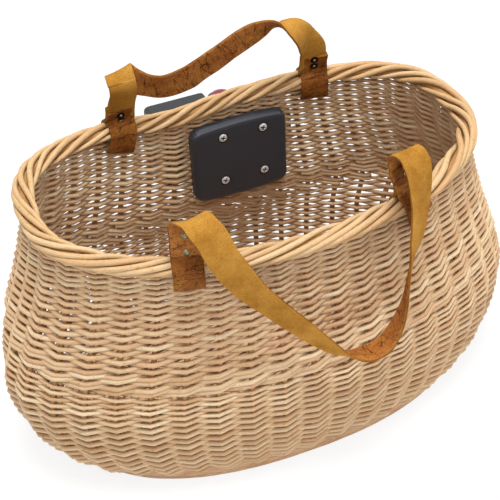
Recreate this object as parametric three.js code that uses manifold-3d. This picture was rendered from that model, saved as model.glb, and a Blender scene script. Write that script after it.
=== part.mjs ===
// Oval wicker handlebar basket with two leather handles and a quick-release handlebar adapter.
// Units are millimetres. +Z is up, +X is to the right, -Y is the front and +Y is the bicycle side.
// The origin is the middle of the underside of the woven base.

import * as THREE from 'three';
import { mergeVertices } from 'three/addons/utils/BufferGeometryUtils.js';
import Module from 'manifold-3d';

const wasm = await Module();
wasm.setup();

// Clearances
const SEAT_GAP = 0.3;
const BOLT_CLEARANCE = 0.3;
const SLIDE_GAP = 0.4;
const COURSE_GAP = 0.8;

// How far joined parts and cutting tools run past the faces that they meet
const OVERRUN = 1;

// Woven shell, measured on the middle of the wall
const WALL = 10;
const BASE_HALF_LENGTH = 184;
const BASE_FRONT_REACH = 100;
const BASE_REAR_REACH = 96;
const BELLY_HALF_LENGTH = 244;
const BELLY_FRONT_REACH = 129;
const BELLY_REAR_REACH = 126;
const BELLY_HEIGHT = 98;
const FOOT_HEIGHT = 8;
const TRANSITION_HEIGHT = 125;
const TRANSITION_BAND = 11;
const TRANSITION_WALL = 12;
const REAR_FLAT_DEPTH = 100;

// Weave of the wall sections: stakes are counted anticlockwise from the left end, and rounds upwards
const STAKES = 41;
const STAKE_PHASE = 0.017;
const STAKE_LEVEL = 126;
const WEAVER_THICKNESS = 3.8;
const LOWER_ROUND_AT_FOOT = 8;
const LOWER_ROUND_AT_TOP = 5.7;
const UPPER_ROUND_AT_BAND = 8;
const UPPER_ROUND_AT_RIM = 6.7;
const INSIDE_ROUNDS = 2;

// Rim border
const RIM_HALF_LENGTH = 200;
const RIM_FRONT_REACH = 110;
const RIM_REAR_REACH = 117;
const RIM_HEIGHT = 250;
const RIM_END_RISE = 9;
const RIM_RADIUS = 7.8;

// Squareness of the oval, from 2 for an ellipse upwards
const BASE_SQUARENESS = 2.3;
const BELLY_SQUARENESS = 1.95;
const RIM_FRONT_SQUARENESS = 2.1;
const RIM_REAR_SQUARENESS = 3;

// Leather straps
const STRAP_WIDTH = 26;
const STRAP_THICKNESS = 2.4;
const LOOP_CLEARANCE = 1.2;
const RIVET_CAP_RADIUS = 3.8;
const RIVET_CAP_HEIGHT = 1.8;
const RIVET_POST_RADIUS = 1.6;

// Front handle
const FRONT_LOOP_CENTRE = 0;
const FRONT_LOOP_SPREAD = 99;
const FRONT_LOOP_TOP = 46;
const FRONT_LOOP_DROP = 15;
const FRONT_LOOP_LEAN = 0;
const FRONT_RIVET_LOW = 19;
const FRONT_RIVET_HIGH = 36;
const FRONT_FOLD_RISE = 6;
const FRONT_FOLD_REACH = 18;
const FRONT_HANG_DEPTH = 149;

// Rear handle
const REAR_LOOP_CENTRE = 8;
const REAR_LOOP_SPREAD = 97;
const REAR_LOOP_TOP = 31;
const REAR_LOOP_DROP = 20;
const REAR_LOOP_LEAN = 15;
const REAR_RIVET_LOW = 16.5;
const REAR_RIVET_HIGH = 25;
const REAR_ARCH_HEIGHT = 45;

// Clamping plate inside the rear wall
const MOUNT_X = 26;
const PLATE_WIDTH = 97;
const PLATE_HEIGHT = 81;
const PLATE_BOW = 3;
const PLATE_THICKNESS = 10;
const PLATE_CORNER = 9;
const PLATE_ROUNDING = 5;
const PLATE_ROUNDING_STEPS = 3;
const PLATE_DROP = 19;
const SCREW_SPACING_X = 41;
const SCREW_SPACING_Z = 50;
const SCREW_SHIFT = 3;
const SCREW_RISE = 4;
const SCREW_RADIUS = 2;
const SCREW_HEAD_RADIUS = 4;
const SCREW_HEAD_HEIGHT = 2.4;
const SCREW_RECESS_RADIUS = 5.5;
const SCREW_RECESS_DEPTH = 1.5;
const NUT_RADIUS = 4;
const NUT_HEIGHT = 3.2;

// Outer bracket on the bicycle side of the wall
const BRACKET_THICKNESS = 8;
const RAIL_SPREAD = 34;
const RAIL_NECK_WIDTH = 6;
const RAIL_LIP_WIDTH = 12;
const RAIL_NECK_DEPTH = 5;
const RAIL_LIP_DEPTH = 4;
const RAIL_LENGTH = 64;

// Handlebar adapter
const HOUSING_HALF_WIDTH = 48;
const HOUSING_DEPTH = 22;
const HOUSING_DROP = 7;
const HOUSING_FOOT = 6;
const HOUSING_CORNER = 6;
const CLAMP_INNER_EDGE = 46;
const CLAMP_OUTER_EDGE = 68;
const ARM_FRONT = 6;
const BAR_RADIUS = 15.9;
const BAR_SETBACK = 44;
const BAR_DROP = 58;
const CLAMP_HALF_HEIGHT = 31;
const CLAMP_SPLIT = 1;
const CAP_THICKNESS = 7;
const CAP_FLANGE = 9;
const CLAMP_BOLT_RADIUS = 2.5;
const CLAMP_BOLT_LENGTH = 26;
const CLAMP_KNEE_WALL = 3;
const CLAMP_BOLT_SPREAD = 25.5;
const BOLT_HEAD_RADIUS = 4.2;
const BOLT_HEAD_HEIGHT = 5;

// Lock on the left of the adapter
const LOCK_LEFT = -46;
const LOCK_RIGHT = 17;
const LOCK_FRONT = 8;
const LOCK_DEPTH = 33;
const LOCK_HEIGHT = 30;
const LOCK_RISE = 3;
const LOCK_CORNER = 5;
const BARREL_RADIUS = 10;
const BARREL_HEAD = 9;
const BARREL_SHANK_RADIUS = 7;
const BARREL_SHANK_LENGTH = 14;
const BARREL_CHAMFER = 2;
const KEYWAY_WIDTH = 2;
const KEYWAY_HEIGHT = 9;
const KEYWAY_DEPTH = 5;

// Release button, its springs and the latch
const BUTTON_X = 32;
const BUTTON_RADIUS = 11;
const BUTTON_STAND = 1.5;
const BUTTON_DOME = 5;
const BUTTON_SKIRT = 10;
const BUTTON_SETBACK = 34;
const BOSS_WALL = 2.6;
const BOSS_STEP = 4;
const BAR_HEADROOM = 4.1;
const RELEASE_TRAVEL = 4.6;
const LATCH_HALF_WIDTH = 4.5;
const LATCH_THICKNESS = 4;
const LATCH_RAMP = 6;
const LATCH_HEEL = 3;
const LATCH_REACH = 4;
const LATCH_CHAMFER_LENGTH = 2;
const LATCH_CHAMFER_DEPTH = 1.5;
const WEDGE_LENGTH = 7;
const SPRING_POCKET = 2;
const SPRING_RADIUS = 2.1;
const SPRING_WIRE = 0.4;
const SPRING_TURNS = 6;

// Round sections and rings
const RING_STEPS = 60;
const ROUND_STEPS = 24;
const BAR_STEPS = 32;
const BORE_STEPS = 16;

const group = new THREE.Group();

const finishes = {
  wicker: new THREE.MeshStandardMaterial({ color: 0xd2b48c, roughness: 0.7, metalness: 0 }),
  wickerFoot: new THREE.MeshStandardMaterial({ color: 0xcda584, roughness: 0.7, metalness: 0 }),
  rim: new THREE.MeshStandardMaterial({ color: 0xe0b77a, roughness: 0.6, metalness: 0 }),
  leather: new THREE.MeshStandardMaterial({ color: 0xb9822f, roughness: 0.8, metalness: 0 }),
  brass: new THREE.MeshStandardMaterial({ color: 0x7c7454, roughness: 0.4, metalness: 1 }),
  darkPlastic: new THREE.MeshStandardMaterial({ color: 0x2e2d31, roughness: 0.55, metalness: 0 }),
  greyPlastic: new THREE.MeshStandardMaterial({ color: 0x5f6266, roughness: 0.5, metalness: 0 }),
  redPlastic: new THREE.MeshStandardMaterial({ color: 0x7a1f3a, roughness: 0.4, metalness: 0 }),
  zinc: new THREE.MeshStandardMaterial({ color: 0xc8c9c6, roughness: 0.35, metalness: 1 }),
};

function addPiece(name, geometry, finish) {
  const mesh = new THREE.Mesh(geometry, finish.clone());
  mesh.name = name;
  group.add(mesh);
}

// Boolean helpers

function toSolid(geometry) {
  const bare = geometry.clone();
  bare.deleteAttribute('normal');
  bare.deleteAttribute('uv');
  const merged = mergeVertices(bare, 1e-4);
  const vertProperties = new Float32Array(merged.attributes.position.array);
  const triVerts = new Uint32Array(merged.index.array);
  return new wasm.Manifold(new wasm.Mesh({ numProp: 3, vertProperties, triVerts }));
}

function toGeometry(solid) {
  const mesh = solid.getMesh();
  const geometry = new THREE.BufferGeometry();
  geometry.setAttribute('position', new THREE.BufferAttribute(new Float32Array(mesh.vertProperties), 3));
  geometry.setIndex(new THREE.BufferAttribute(new Uint32Array(mesh.triVerts), 1));
  return geometry;
}

function joined(parts) {
  return parts.map(toSolid).reduce((sum, part) => sum.add(part));
}

function cut(geometry, tools) {
  return toGeometry(tools.reduce((rest, tool) => rest.subtract(toSolid(tool)), toSolid(geometry)));
}

// Closed surface from rings of equally many points. Each ring is a list of Vector3.
// The last ring joins the first when closed is true, and otherwise both end rings are filled flat.
function ringSolid(rings, closed) {
  const count = rings[0].length;
  const positions = [];
  const index = [];
  for (const ring of rings) {
    for (const point of ring) {
      positions.push(point.x, point.y, point.z);
    }
  }
  const bands = closed ? rings.length : rings.length - 1;
  for (let band = 0; band < bands; band += 1) {
    const here = band * count;
    const next = ((band + 1) % rings.length) * count;
    for (let i = 0; i < count; i += 1) {
      const j = (i + 1) % count;
      index.push(here + i, here + j, next + j);
      index.push(here + i, next + j, next + i);
    }
  }
  if (!closed) {
    const last = (rings.length - 1) * count;
    for (let i = 1; i < count - 1; i += 1) {
      index.push(0, i + 1, i);
      index.push(last, last + i, last + i + 1);
    }
  }
  const geometry = new THREE.BufferGeometry();
  geometry.setAttribute('position', new THREE.Float32BufferAttribute(positions, 3));
  geometry.setIndex(index);
  return geometry;
}

// Oval plan of the basket

function mix(from, to, share) {
  return from + (to - from) * share;
}

function ovalPoint(angle, halfLength, frontReach, rearReach, frontSquareness, rearSquareness) {
  const c = Math.cos(angle);
  const s = Math.sin(angle);
  const power = s < 0 ? frontSquareness : rearSquareness;
  const reach = s < 0 ? frontReach : rearReach;
  const radius = (Math.abs(c) ** power + Math.abs(s) ** power) ** (-1 / power);
  return new THREE.Vector2(halfLength * radius * c, reach * radius * s);
}

function rimHeightAt(x) {
  return RIM_HEIGHT + RIM_END_RISE * (x / RIM_HALF_LENGTH) ** 2;
}

function rimPoint(angle) {
  const plan = ovalPoint(
    angle, RIM_HALF_LENGTH, RIM_FRONT_REACH, RIM_REAR_REACH, RIM_FRONT_SQUARENESS, RIM_REAR_SQUARENESS,
  );
  return new THREE.Vector3(plan.x, plan.y, rimHeightAt(plan.x));
}

// Share of the way from the belly to the rim that the wall has drawn in at a given share of the height
function drawIn(share) {
  return 1 - (1 - Math.min(share, 1) ** 1.4) ** 2;
}

// Point on the middle of the wall. Station 0 is the edge of the base, 1 the belly and 2 the rim.
function wallPoint(station, angle) {
  const baseMiddle = WALL / 2;
  if (station <= 1) {
    const turn = station * Math.PI / 2;
    const out = Math.sin(turn);
    const squareness = mix(BASE_SQUARENESS, BELLY_SQUARENESS, out);
    const plan = ovalPoint(
      angle,
      mix(BASE_HALF_LENGTH, BELLY_HALF_LENGTH, out),
      mix(BASE_FRONT_REACH, BELLY_FRONT_REACH, out),
      mix(BASE_REAR_REACH, BELLY_REAR_REACH, out),
      squareness,
      squareness,
    );
    return new THREE.Vector3(plan.x, plan.y, mix(baseMiddle, BELLY_HEIGHT, 1 - Math.cos(turn)));
  }
  const share = station - 1;
  const inward = drawIn(share);
  const flatShare = share * (RIM_HEIGHT - BELLY_HEIGHT) / (RIM_HEIGHT - REAR_FLAT_DEPTH - BELLY_HEIGHT);
  const rearInward = drawIn(flatShare);
  const plan = ovalPoint(
    angle,
    mix(BELLY_HALF_LENGTH, RIM_HALF_LENGTH, inward),
    mix(BELLY_FRONT_REACH, RIM_FRONT_REACH, inward),
    mix(BELLY_REAR_REACH, RIM_REAR_REACH, rearInward),
    mix(BELLY_SQUARENESS, RIM_FRONT_SQUARENESS, inward),
    mix(BELLY_SQUARENESS, RIM_REAR_SQUARENESS, rearInward),
  );
  return new THREE.Vector3(plan.x, plan.y, mix(BELLY_HEIGHT, rimHeightAt(plan.x), share));
}

function wallNormal(station, angle) {
  const step = 0.002;
  const alongA = wallPoint(station, angle - step);
  const alongB = wallPoint(station, angle + step);
  const low = wallPoint(Math.max(station - step, 0), angle);
  const high = wallPoint(Math.min(station + step, 2), angle);
  return alongB.sub(alongA).cross(high.sub(low)).normalize();
}

// Wall station at a height above the base, for a height at the middle of the long sides
function stationAtHeight(height) {
  if (height >= BELLY_HEIGHT) {
    return 1 + (height - BELLY_HEIGHT) / (RIM_HEIGHT - BELLY_HEIGHT);
  }
  const baseMiddle = WALL / 2;
  return Math.acos(1 - (height - baseMiddle) / (BELLY_HEIGHT - baseMiddle)) * 2 / Math.PI;
}

function wallShell(fromStation, toStation, bands, thickness) {
  const outside = [];
  const inside = [];
  for (let band = 0; band <= bands; band += 1) {
    const station = mix(fromStation, toStation, band / bands);
    const outerRing = [];
    const innerRing = [];
    for (let i = 0; i < RING_STEPS; i += 1) {
      const angle = i * 2 * Math.PI / RING_STEPS;
      const middle = wallPoint(station, angle);
      const normal = wallNormal(station, angle);
      outerRing.push(middle.clone().addScaledVector(normal, thickness / 2));
      innerRing.push(middle.clone().addScaledVector(normal, -thickness / 2));
    }
    outside.push(outerRing);
    inside.unshift(innerRing);
  }
  return ringSolid([...outside, ...inside], true);
}

// Line on the wall, for lengths along the weave. pointAt gives its point at a share of the way.
class WallLine extends THREE.Curve {
  constructor(pointAt) {
    super();
    this.pointAt = pointAt;
    this.arcLengthDivisions = 720;
  }

  getPoint(share, target = new THREE.Vector3()) {
    return target.copy(this.pointAt(share));
  }
}

const stakeLevelStation = stationAtHeight(STAKE_LEVEL);
const stakeLine = new WallLine((share) => wallPoint(stakeLevelStation, (2 * share - 1) * Math.PI));

function stakeAngle(place) {
  const turns = (place + STAKE_PHASE) / STAKES;
  const whole = Math.floor(turns);
  return (2 * (whole + stakeLine.getUtoTmapping(turns - whole)) - 1) * Math.PI;
}

// Stations of the edges between rounds, for a spacing that changes from low to high up the wall
function roundEdges(fromStation, toStation, lowSpacing, highSpacing) {
  const rise = new WallLine((share) => wallPoint(mix(fromStation, toStation, share), -Math.PI / 2));
  const count = Math.round(rise.getLength() / mix(lowSpacing, highSpacing, 1 / 3));
  const lengths = [0];
  for (let i = 0; i < count; i += 1) {
    lengths.push(lengths[i] + mix(lowSpacing, highSpacing, ((i + 0.5) / count) ** 2));
  }
  return lengths.map((length) => mix(
    fromStation, toStation, rise.getUtoTmapping(length / lengths[count]),
  ));
}

// One face of the weave, outside (side 1) or inside (side -1). In each round the weavers bulge over
// every stake and lie back between the stakes, where they cross.
function weaveFace(edges, side) {
  const onWall = (station, place, offset) => {
    const angle = stakeAngle(place);
    return wallPoint(station, angle).addScaledVector(wallNormal(station, angle), side * offset);
  };
  const places = Array.from({ length: STAKES }, (_, stake) => stake);
  const hollows = edges.map((edge) => places.map(
    (stake) => onWall(edge, stake - 0.5, WEAVER_THICKNESS / 2),
  ));
  const bulges = edges.slice(1).map((edge, i) => places.map(
    (stake) => onWall((edge + edges[i]) / 2, stake, WALL / 2),
  ));
  return { hollows, bulges };
}

function wovenShell(edges) {
  const positions = [];
  const index = [];
  const addRing = (ring) => {
    const start = positions.length / 3;
    ring.forEach((point) => positions.push(point.x, point.y, point.z));
    return start;
  };
  const addTriangle = (a, b, c, side) => index.push(...(side > 0 ? [a, b, c] : [a, c, b]));
  const ends = [1, -1].map((side) => {
    const step = side > 0 ? 1 : INSIDE_ROUNDS;
    const face = weaveFace(edges.filter((_, i) => i % step === 0 || i === edges.length - 1), side);
    const hollowStarts = face.hollows.map(addRing);
    face.bulges.map(addRing).forEach((bulges, round) => {
      const low = hollowStarts[round];
      const high = hollowStarts[round + 1];
      for (let stake = 0; stake < STAKES; stake += 1) {
        const next = (stake + 1) % STAKES;
        const tip = bulges + stake;
        addTriangle(low + stake, low + next, tip, side);
        addTriangle(low + next, high + next, tip, side);
        addTriangle(high + next, high + stake, tip, side);
        addTriangle(high + stake, low + stake, tip, side);
      }
    });
    return { low: hollowStarts[0], high: hollowStarts[hollowStarts.length - 1] };
  });
  const [outside, inside] = ends;
  for (let stake = 0; stake < STAKES; stake += 1) {
    const next = (stake + 1) % STAKES;
    addTriangle(inside.low + stake, inside.low + next, outside.low + next, 1);
    addTriangle(inside.low + stake, outside.low + next, outside.low + stake, 1);
    addTriangle(inside.high + stake, inside.high + next, outside.high + next, -1);
    addTriangle(inside.high + stake, outside.high + next, outside.high + stake, -1);
  }
  const geometry = new THREE.BufferGeometry();
  geometry.setAttribute('position', new THREE.Float32BufferAttribute(positions, 3));
  geometry.setIndex(index);
  return geometry;
}

// Woven shell in the sections that the weaver starts and ends

const FOOT_STATION = stationAtHeight(WALL / 2 + FOOT_HEIGHT);
const BAND_LOW_STATION = stationAtHeight(TRANSITION_HEIGHT - TRANSITION_BAND / 2);
const BAND_HIGH_STATION = stationAtHeight(TRANSITION_HEIGHT + TRANSITION_BAND / 2);
const WALL_TOP_STATION = stationAtHeight(RIM_HEIGHT - RIM_RADIUS - SEAT_GAP);
const UPPER_COURSE_STEP = COURSE_GAP / (RIM_HEIGHT - BELLY_HEIGHT);
const FOOT_COURSE_STEP = COURSE_GAP / (BELLY_HALF_LENGTH - BASE_HALF_LENGTH);

const lowerShell = wovenShell(roundEdges(
  FOOT_STATION + FOOT_COURSE_STEP,
  BAND_LOW_STATION - UPPER_COURSE_STEP,
  LOWER_ROUND_AT_FOOT,
  LOWER_ROUND_AT_TOP,
));
const upperShell = wovenShell(roundEdges(
  BAND_HIGH_STATION + UPPER_COURSE_STEP,
  WALL_TOP_STATION,
  UPPER_ROUND_AT_BAND,
  UPPER_ROUND_AT_RIM,
));

function makeBase() {
  const outline = new THREE.Shape();
  for (let i = 0; i < RING_STEPS; i += 1) {
    const plan = ovalPoint(
      i * 2 * Math.PI / RING_STEPS,
      BASE_HALF_LENGTH - SEAT_GAP,
      BASE_FRONT_REACH - SEAT_GAP,
      BASE_REAR_REACH - SEAT_GAP,
      BASE_SQUARENESS,
      BASE_SQUARENESS,
    );
    if (i === 0) {
      outline.moveTo(plan.x, plan.y);
    } else {
      outline.lineTo(plan.x, plan.y);
    }
  }
  return new THREE.ExtrudeGeometry(outline, { depth: WALL, bevelEnabled: false });
}

function makeRim() {
  const rings = [];
  const sides = 10;
  for (let i = 0; i < RING_STEPS; i += 1) {
    const angle = i * 2 * Math.PI / RING_STEPS;
    const ahead = rimPoint(angle + 0.001).sub(rimPoint(angle - 0.001)).normalize();
    const outward = new THREE.Vector3().crossVectors(ahead, new THREE.Vector3(0, 0, 1)).normalize();
    const up = new THREE.Vector3().crossVectors(outward, ahead);
    const ring = [];
    for (let k = 0; k < sides; k += 1) {
      const turn = (k + 0.5) * 2 * Math.PI / sides;
      const point = rimPoint(angle);
      point.addScaledVector(outward, RIM_RADIUS * Math.cos(turn));
      point.addScaledVector(up, RIM_RADIUS * Math.sin(turn));
      ring.push(point);
    }
    rings.push(ring);
  }
  return ringSolid(rings.reverse(), true);
}

// Place on the rim for a strap loop: its centre, the direction along the rim and the outward direction

function rimPlace(x, side) {
  let low = 0;
  let high = Math.PI;
  for (let i = 0; i < 50; i += 1) {
    const middle = (low + high) / 2;
    if (rimPoint(side * middle).x > x) {
      low = middle;
    } else {
      high = middle;
    }
  }
  const angle = side * (low + high) / 2;
  const centre = rimPoint(angle);
  const along = rimPoint(angle + 0.002).sub(rimPoint(angle - 0.002));
  along.z = 0;
  along.normalize();
  const outward = new THREE.Vector3(along.y, -along.x, 0);
  return { centre, along, outward };
}

// Local frame of a loop: X outward, Y up, Z along the rim
function loopMatrix(place) {
  const up = new THREE.Vector3(0, 0, 1);
  const along = new THREE.Vector3().crossVectors(place.outward, up);
  return new THREE.Matrix4().makeBasis(place.outward, up, along).setPosition(place.centre);
}

// Leather end that passes through the weave, round the rim and is riveted to itself above it.
// The part above the rim leans inward by the lean angle.
function makeLoop({ place, top, drop, lean }, rivetHeights) {
  const bore = RIM_RADIUS + LOOP_CLEARANCE;
  const outer = bore + STRAP_THICKNESS;
  const bottom = -drop - STRAP_THICKNESS;
  const neck = Math.asin(STRAP_THICKNESS / outer);
  const rise = Math.PI / 2 + lean;
  const tip = new THREE.Vector2(top * Math.cos(rise), top * Math.sin(rise));
  const across = new THREE.Vector2(Math.sin(rise), -Math.cos(rise)).multiplyScalar(STRAP_THICKNESS);
  const outline = new THREE.Shape();
  outline.moveTo(-outer, bottom);
  outline.lineTo(outer, bottom);
  outline.lineTo(outer, 0);
  outline.absarc(0, 0, outer, 0, rise - neck, false);
  outline.lineTo(tip.x + across.x, tip.y + across.y);
  outline.lineTo(tip.x - across.x, tip.y - across.y);
  outline.absarc(0, 0, outer, rise + neck, Math.PI, false);
  outline.lineTo(-outer, bottom);
  const hole = new THREE.Path();
  hole.moveTo(-bore, -drop);
  hole.lineTo(-bore, 0);
  hole.absarc(0, 0, bore, Math.PI, 0, true);
  hole.lineTo(bore, -drop);
  hole.lineTo(-bore, -drop);
  outline.holes.push(hole);
  const band = new THREE.ExtrudeGeometry(outline, {
    depth: STRAP_WIDTH, bevelEnabled: false, curveSegments: 6,
  });
  band.translate(0, 0, -STRAP_WIDTH / 2);
  const bores = rivetHeights.map((height) => {
    const drill = new THREE.CylinderGeometry(
      RIVET_POST_RADIUS + BOLT_CLEARANCE, RIVET_POST_RADIUS + BOLT_CLEARANCE, 3 * STRAP_THICKNESS, 10,
    );
    drill.rotateZ(Math.PI / 2);
    drill.translate(0, height, 0);
    return drill.rotateZ(lean);
  });
  return cut(band, bores).applyMatrix4(loopMatrix(place));
}

function makeRivet(place, height, lean) {
  const face = STRAP_THICKNESS + SEAT_GAP;
  const profile = [
    new THREE.Vector2(0, -face - RIVET_CAP_HEIGHT),
    new THREE.Vector2(RIVET_CAP_RADIUS * 0.7, -face - RIVET_CAP_HEIGHT * 0.75),
    new THREE.Vector2(RIVET_CAP_RADIUS, -face),
    new THREE.Vector2(RIVET_POST_RADIUS, -face),
    new THREE.Vector2(RIVET_POST_RADIUS, face),
    new THREE.Vector2(RIVET_CAP_RADIUS, face),
    new THREE.Vector2(RIVET_CAP_RADIUS * 0.7, face + RIVET_CAP_HEIGHT * 0.75),
    new THREE.Vector2(0, face + RIVET_CAP_HEIGHT),
  ];
  const rivet = new THREE.LatheGeometry(profile, 10);
  rivet.rotateZ(-Math.PI / 2);
  rivet.translate(0, height, 0);
  rivet.rotateZ(lean);
  return rivet.applyMatrix4(loopMatrix(place));
}

// Slot through the weave under the rim for the loop's lower fold
function loopSlot({ place, drop }) {
  const slot = new THREE.BoxGeometry(
    4 * WALL, STRAP_THICKNESS + 2 * SLIDE_GAP, STRAP_WIDTH + 2 * SLIDE_GAP,
  );
  slot.translate(0, -drop - STRAP_THICKNESS / 2, 0);
  return slot.applyMatrix4(loopMatrix(place));
}

const frontLeft = rimPlace(FRONT_LOOP_CENTRE - FRONT_LOOP_SPREAD, -1);
const frontRight = rimPlace(FRONT_LOOP_CENTRE + FRONT_LOOP_SPREAD, -1);
const rearLeft = rimPlace(REAR_LOOP_CENTRE - REAR_LOOP_SPREAD, 1);
const rearRight = rimPlace(REAR_LOOP_CENTRE + REAR_LOOP_SPREAD, 1);

const frontRivets = { low: FRONT_RIVET_LOW, high: FRONT_RIVET_HIGH };
const rearRivets = { low: REAR_RIVET_LOW, high: REAR_RIVET_HIGH };
const frontLean = THREE.MathUtils.degToRad(FRONT_LOOP_LEAN);
const rearLean = THREE.MathUtils.degToRad(REAR_LOOP_LEAN);
const front = { top: FRONT_LOOP_TOP, drop: FRONT_LOOP_DROP, lean: frontLean, rivets: frontRivets };
const rear = { top: REAR_LOOP_TOP, drop: REAR_LOOP_DROP, lean: rearLean, rivets: rearRivets };
const loops = [
  { name: 'front_left', place: frontLeft, ...front },
  { name: 'front_right', place: frontRight, ...front },
  { name: 'rear_left', place: rearLeft, ...rear },
  { name: 'rear_right', place: rearRight, ...rear },
];

// Flat ribbon along a smooth path. Each knot is [centre, width direction]; the ends are rounded
// about their own centre line so that the ribbon can swing beside its loop.
function makeRibbon(knots, steps) {
  const centres = new THREE.CatmullRomCurve3(knots.map((knot) => knot[0]), false, 'centripetal');
  const widths = new THREE.CatmullRomCurve3(knots.map((knot) => knot[1]), false, 'centripetal');
  const half = STRAP_THICKNESS / 2;
  const rings = [];
  const section = (centre, across, normal, halfThickness) => {
    const corner = (side, face) => centre.clone()
      .addScaledVector(across, side * STRAP_WIDTH / 2)
      .addScaledVector(normal, face * halfThickness);
    return [corner(1, 1), corner(-1, 1), corner(-1, -1), corner(1, -1)];
  };
  for (let i = 0; i <= steps; i += 1) {
    const place = i / steps;
    const centre = centres.getPoint(place);
    const tangent = centres.getTangent(place);
    const across = widths.getPoint(place);
    across.addScaledVector(tangent, -across.dot(tangent)).normalize();
    const normal = new THREE.Vector3().crossVectors(tangent, across);
    if (i === 0) {
      rings.push(section(centre.clone().addScaledVector(tangent, -half), across, normal, half * 0.4));
      const rounding = centre.clone().addScaledVector(tangent, -half * 0.7);
      rings.push(section(rounding, across, normal, half * 0.71));
    }
    rings.push(section(centre, across, normal, half));
    if (i === steps) {
      const rounding = centre.clone().addScaledVector(tangent, half * 0.7);
      rings.push(section(rounding, across, normal, half * 0.71));
      rings.push(section(centre.clone().addScaledVector(tangent, half), across, normal, half * 0.4));
    }
  }
  return ringSolid(rings, false);
}

// The hinge line of a handle lies just beyond the ends of its two loops, far enough to clear the
// corner that each leaning loop turns towards it
function hingePoint(place, top, lean) {
  const corner = Math.abs(place.outward.x) * Math.sin(lean) * STRAP_WIDTH / 2;
  const rise = top + corner + SEAT_GAP + STRAP_THICKNESS / 2;
  const point = place.centre.clone();
  point.addScaledVector(place.outward, -rise * Math.sin(lean));
  point.z += rise * Math.cos(lean);
  return point;
}

// Front handle: it folds over outward at the hinge and hangs in front of the belly.
// Each row is the share of the span from left to right, the share of the hanging depth, the share
// of the reach past the fold, and the direction of the strap's width there.
const frontRows = [
  [0.033, -0.03, 0.09, 0.91, 0.15, 0.37],
  [0.055, 0.0, 0.29, 0.89, 0.12, 0.42],
  [0.093, 0.12, 0.47, 0.92, 0.02, 0.4],
  [0.136, 0.24, 0.52, 0.88, -0.12, 0.45],
  [0.212, 0.41, 0.55, 0.75, -0.41, 0.52],
  [0.302, 0.57, 0.62, 0.64, -0.51, 0.58],
  [0.397, 0.73, 0.75, 0.53, -0.61, 0.59],
  [0.495, 0.87, 0.95, 0.36, -0.72, 0.6],
  [0.565, 0.96, 1.11, 0.13, -0.79, 0.6],
  [0.659, 1.0, 1.2, -0.04, -0.96, 0.28],
  [0.755, 0.97, 1.19, -0.03, -0.95, 0.3],
  [0.825, 0.88, 1.06, -0.13, -0.92, 0.38],
  [0.872, 0.77, 0.9, -0.32, -0.87, 0.38],
  [0.899, 0.65, 0.75, -0.45, -0.85, 0.27],
  [0.92, 0.52, 0.65, -0.56, -0.79, 0.27],
  [0.949, 0.38, 0.53, -0.76, -0.58, 0.3],
  [0.969, 0.25, 0.39, -0.83, -0.5, 0.25],
  [0.981, 0.12, 0.22, -0.89, -0.4, 0.23],
  [0.989, 0.0, 0.0, -0.96, -0.2, 0.21],
];

function frontKnots() {
  const left = hingePoint(frontLeft, FRONT_LOOP_TOP, frontLean);
  const right = hingePoint(frontRight, FRONT_LOOP_TOP, frontLean);
  const line = right.clone().sub(left).normalize();
  const back = line.clone().negate();
  const bellyFace = BELLY_FRONT_REACH + WALL / 2;
  const hangReach = bellyFace + STRAP_WIDTH / 2 + left.y - FRONT_FOLD_REACH;
  const stub = new THREE.Vector3(0, -2 * STRAP_THICKNESS, FRONT_FOLD_RISE / 6);
  const fold = new THREE.Vector3(0, -FRONT_FOLD_REACH / 2, FRONT_FOLD_RISE);
  const knots = [[left, line], [left.clone().add(stub), line], [left.clone().add(fold), line]];
  for (const [span, drop, reach, wx, wy, wz] of frontRows) {
    const centre = left.clone().lerp(right, span);
    centre.y -= FRONT_FOLD_REACH + hangReach * reach;
    centre.z -= FRONT_HANG_DEPTH * drop;
    knots.push([centre, new THREE.Vector3(wx, wy, wz)]);
  }
  knots.push([right.clone().add(fold), back], [right.clone().add(stub), back], [right, back]);
  return knots;
}

// Rear handle: it stands up, leans over the opening and turns over at its left fold.
// Each row is the share of the span, the share of the arch height, the lean over the opening
// in shares of the arch height, and the direction of the strap's width there.
const rearRows = [
  [0.018, 0.28, 0.1, 0.98, 0.1, -0.1],
  [0.02, 0.42, 0.11, 0.99, 0.1, -0.06],
  [0.02, 0.54, 0.07, 1.0, 0.02, -0.01],
  [0.02, 0.63, -0.03, 0.98, -0.17, 0.11],
  [0.027, 0.63, -0.14, 0.93, -0.22, 0.29],
  [0.038, 0.57, -0.24, 0.86, -0.13, 0.5],
  [0.055, 0.46, -0.29, 0.76, -0.03, 0.65],
  [0.077, 0.36, -0.28, 0.62, -0.04, 0.78],
  [0.103, 0.29, -0.22, 0.38, -0.12, 0.92],
  [0.16, 0.2, -0.07, 0.08, -0.2, 0.98],
  [0.225, 0.19, 0.07, -0.15, -0.15, 0.98],
  [0.327, 0.3, 0.17, -0.36, -0.09, 0.93],
  [0.426, 0.49, 0.19, -0.43, -0.13, 0.89],
  [0.525, 0.69, 0.2, -0.43, -0.13, 0.89],
  [0.624, 0.88, 0.18, -0.35, -0.16, 0.92],
  [0.694, 0.97, 0.18, -0.21, -0.29, 0.93],
  [0.765, 1.0, 0.18, -0.03, -0.61, 0.79],
  [0.799, 0.99, 0.19, -0.05, -0.85, 0.52],
  [0.831, 0.96, 0.21, -0.19, -0.97, 0.13],
  [0.861, 0.9, 0.24, -0.33, -0.92, -0.2],
  [0.888, 0.82, 0.26, -0.4, -0.77, -0.49],
  [0.931, 0.61, 0.2, -0.6, -0.48, -0.64],
  [0.963, 0.39, 0.09, -0.76, -0.35, -0.55],
];

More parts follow.
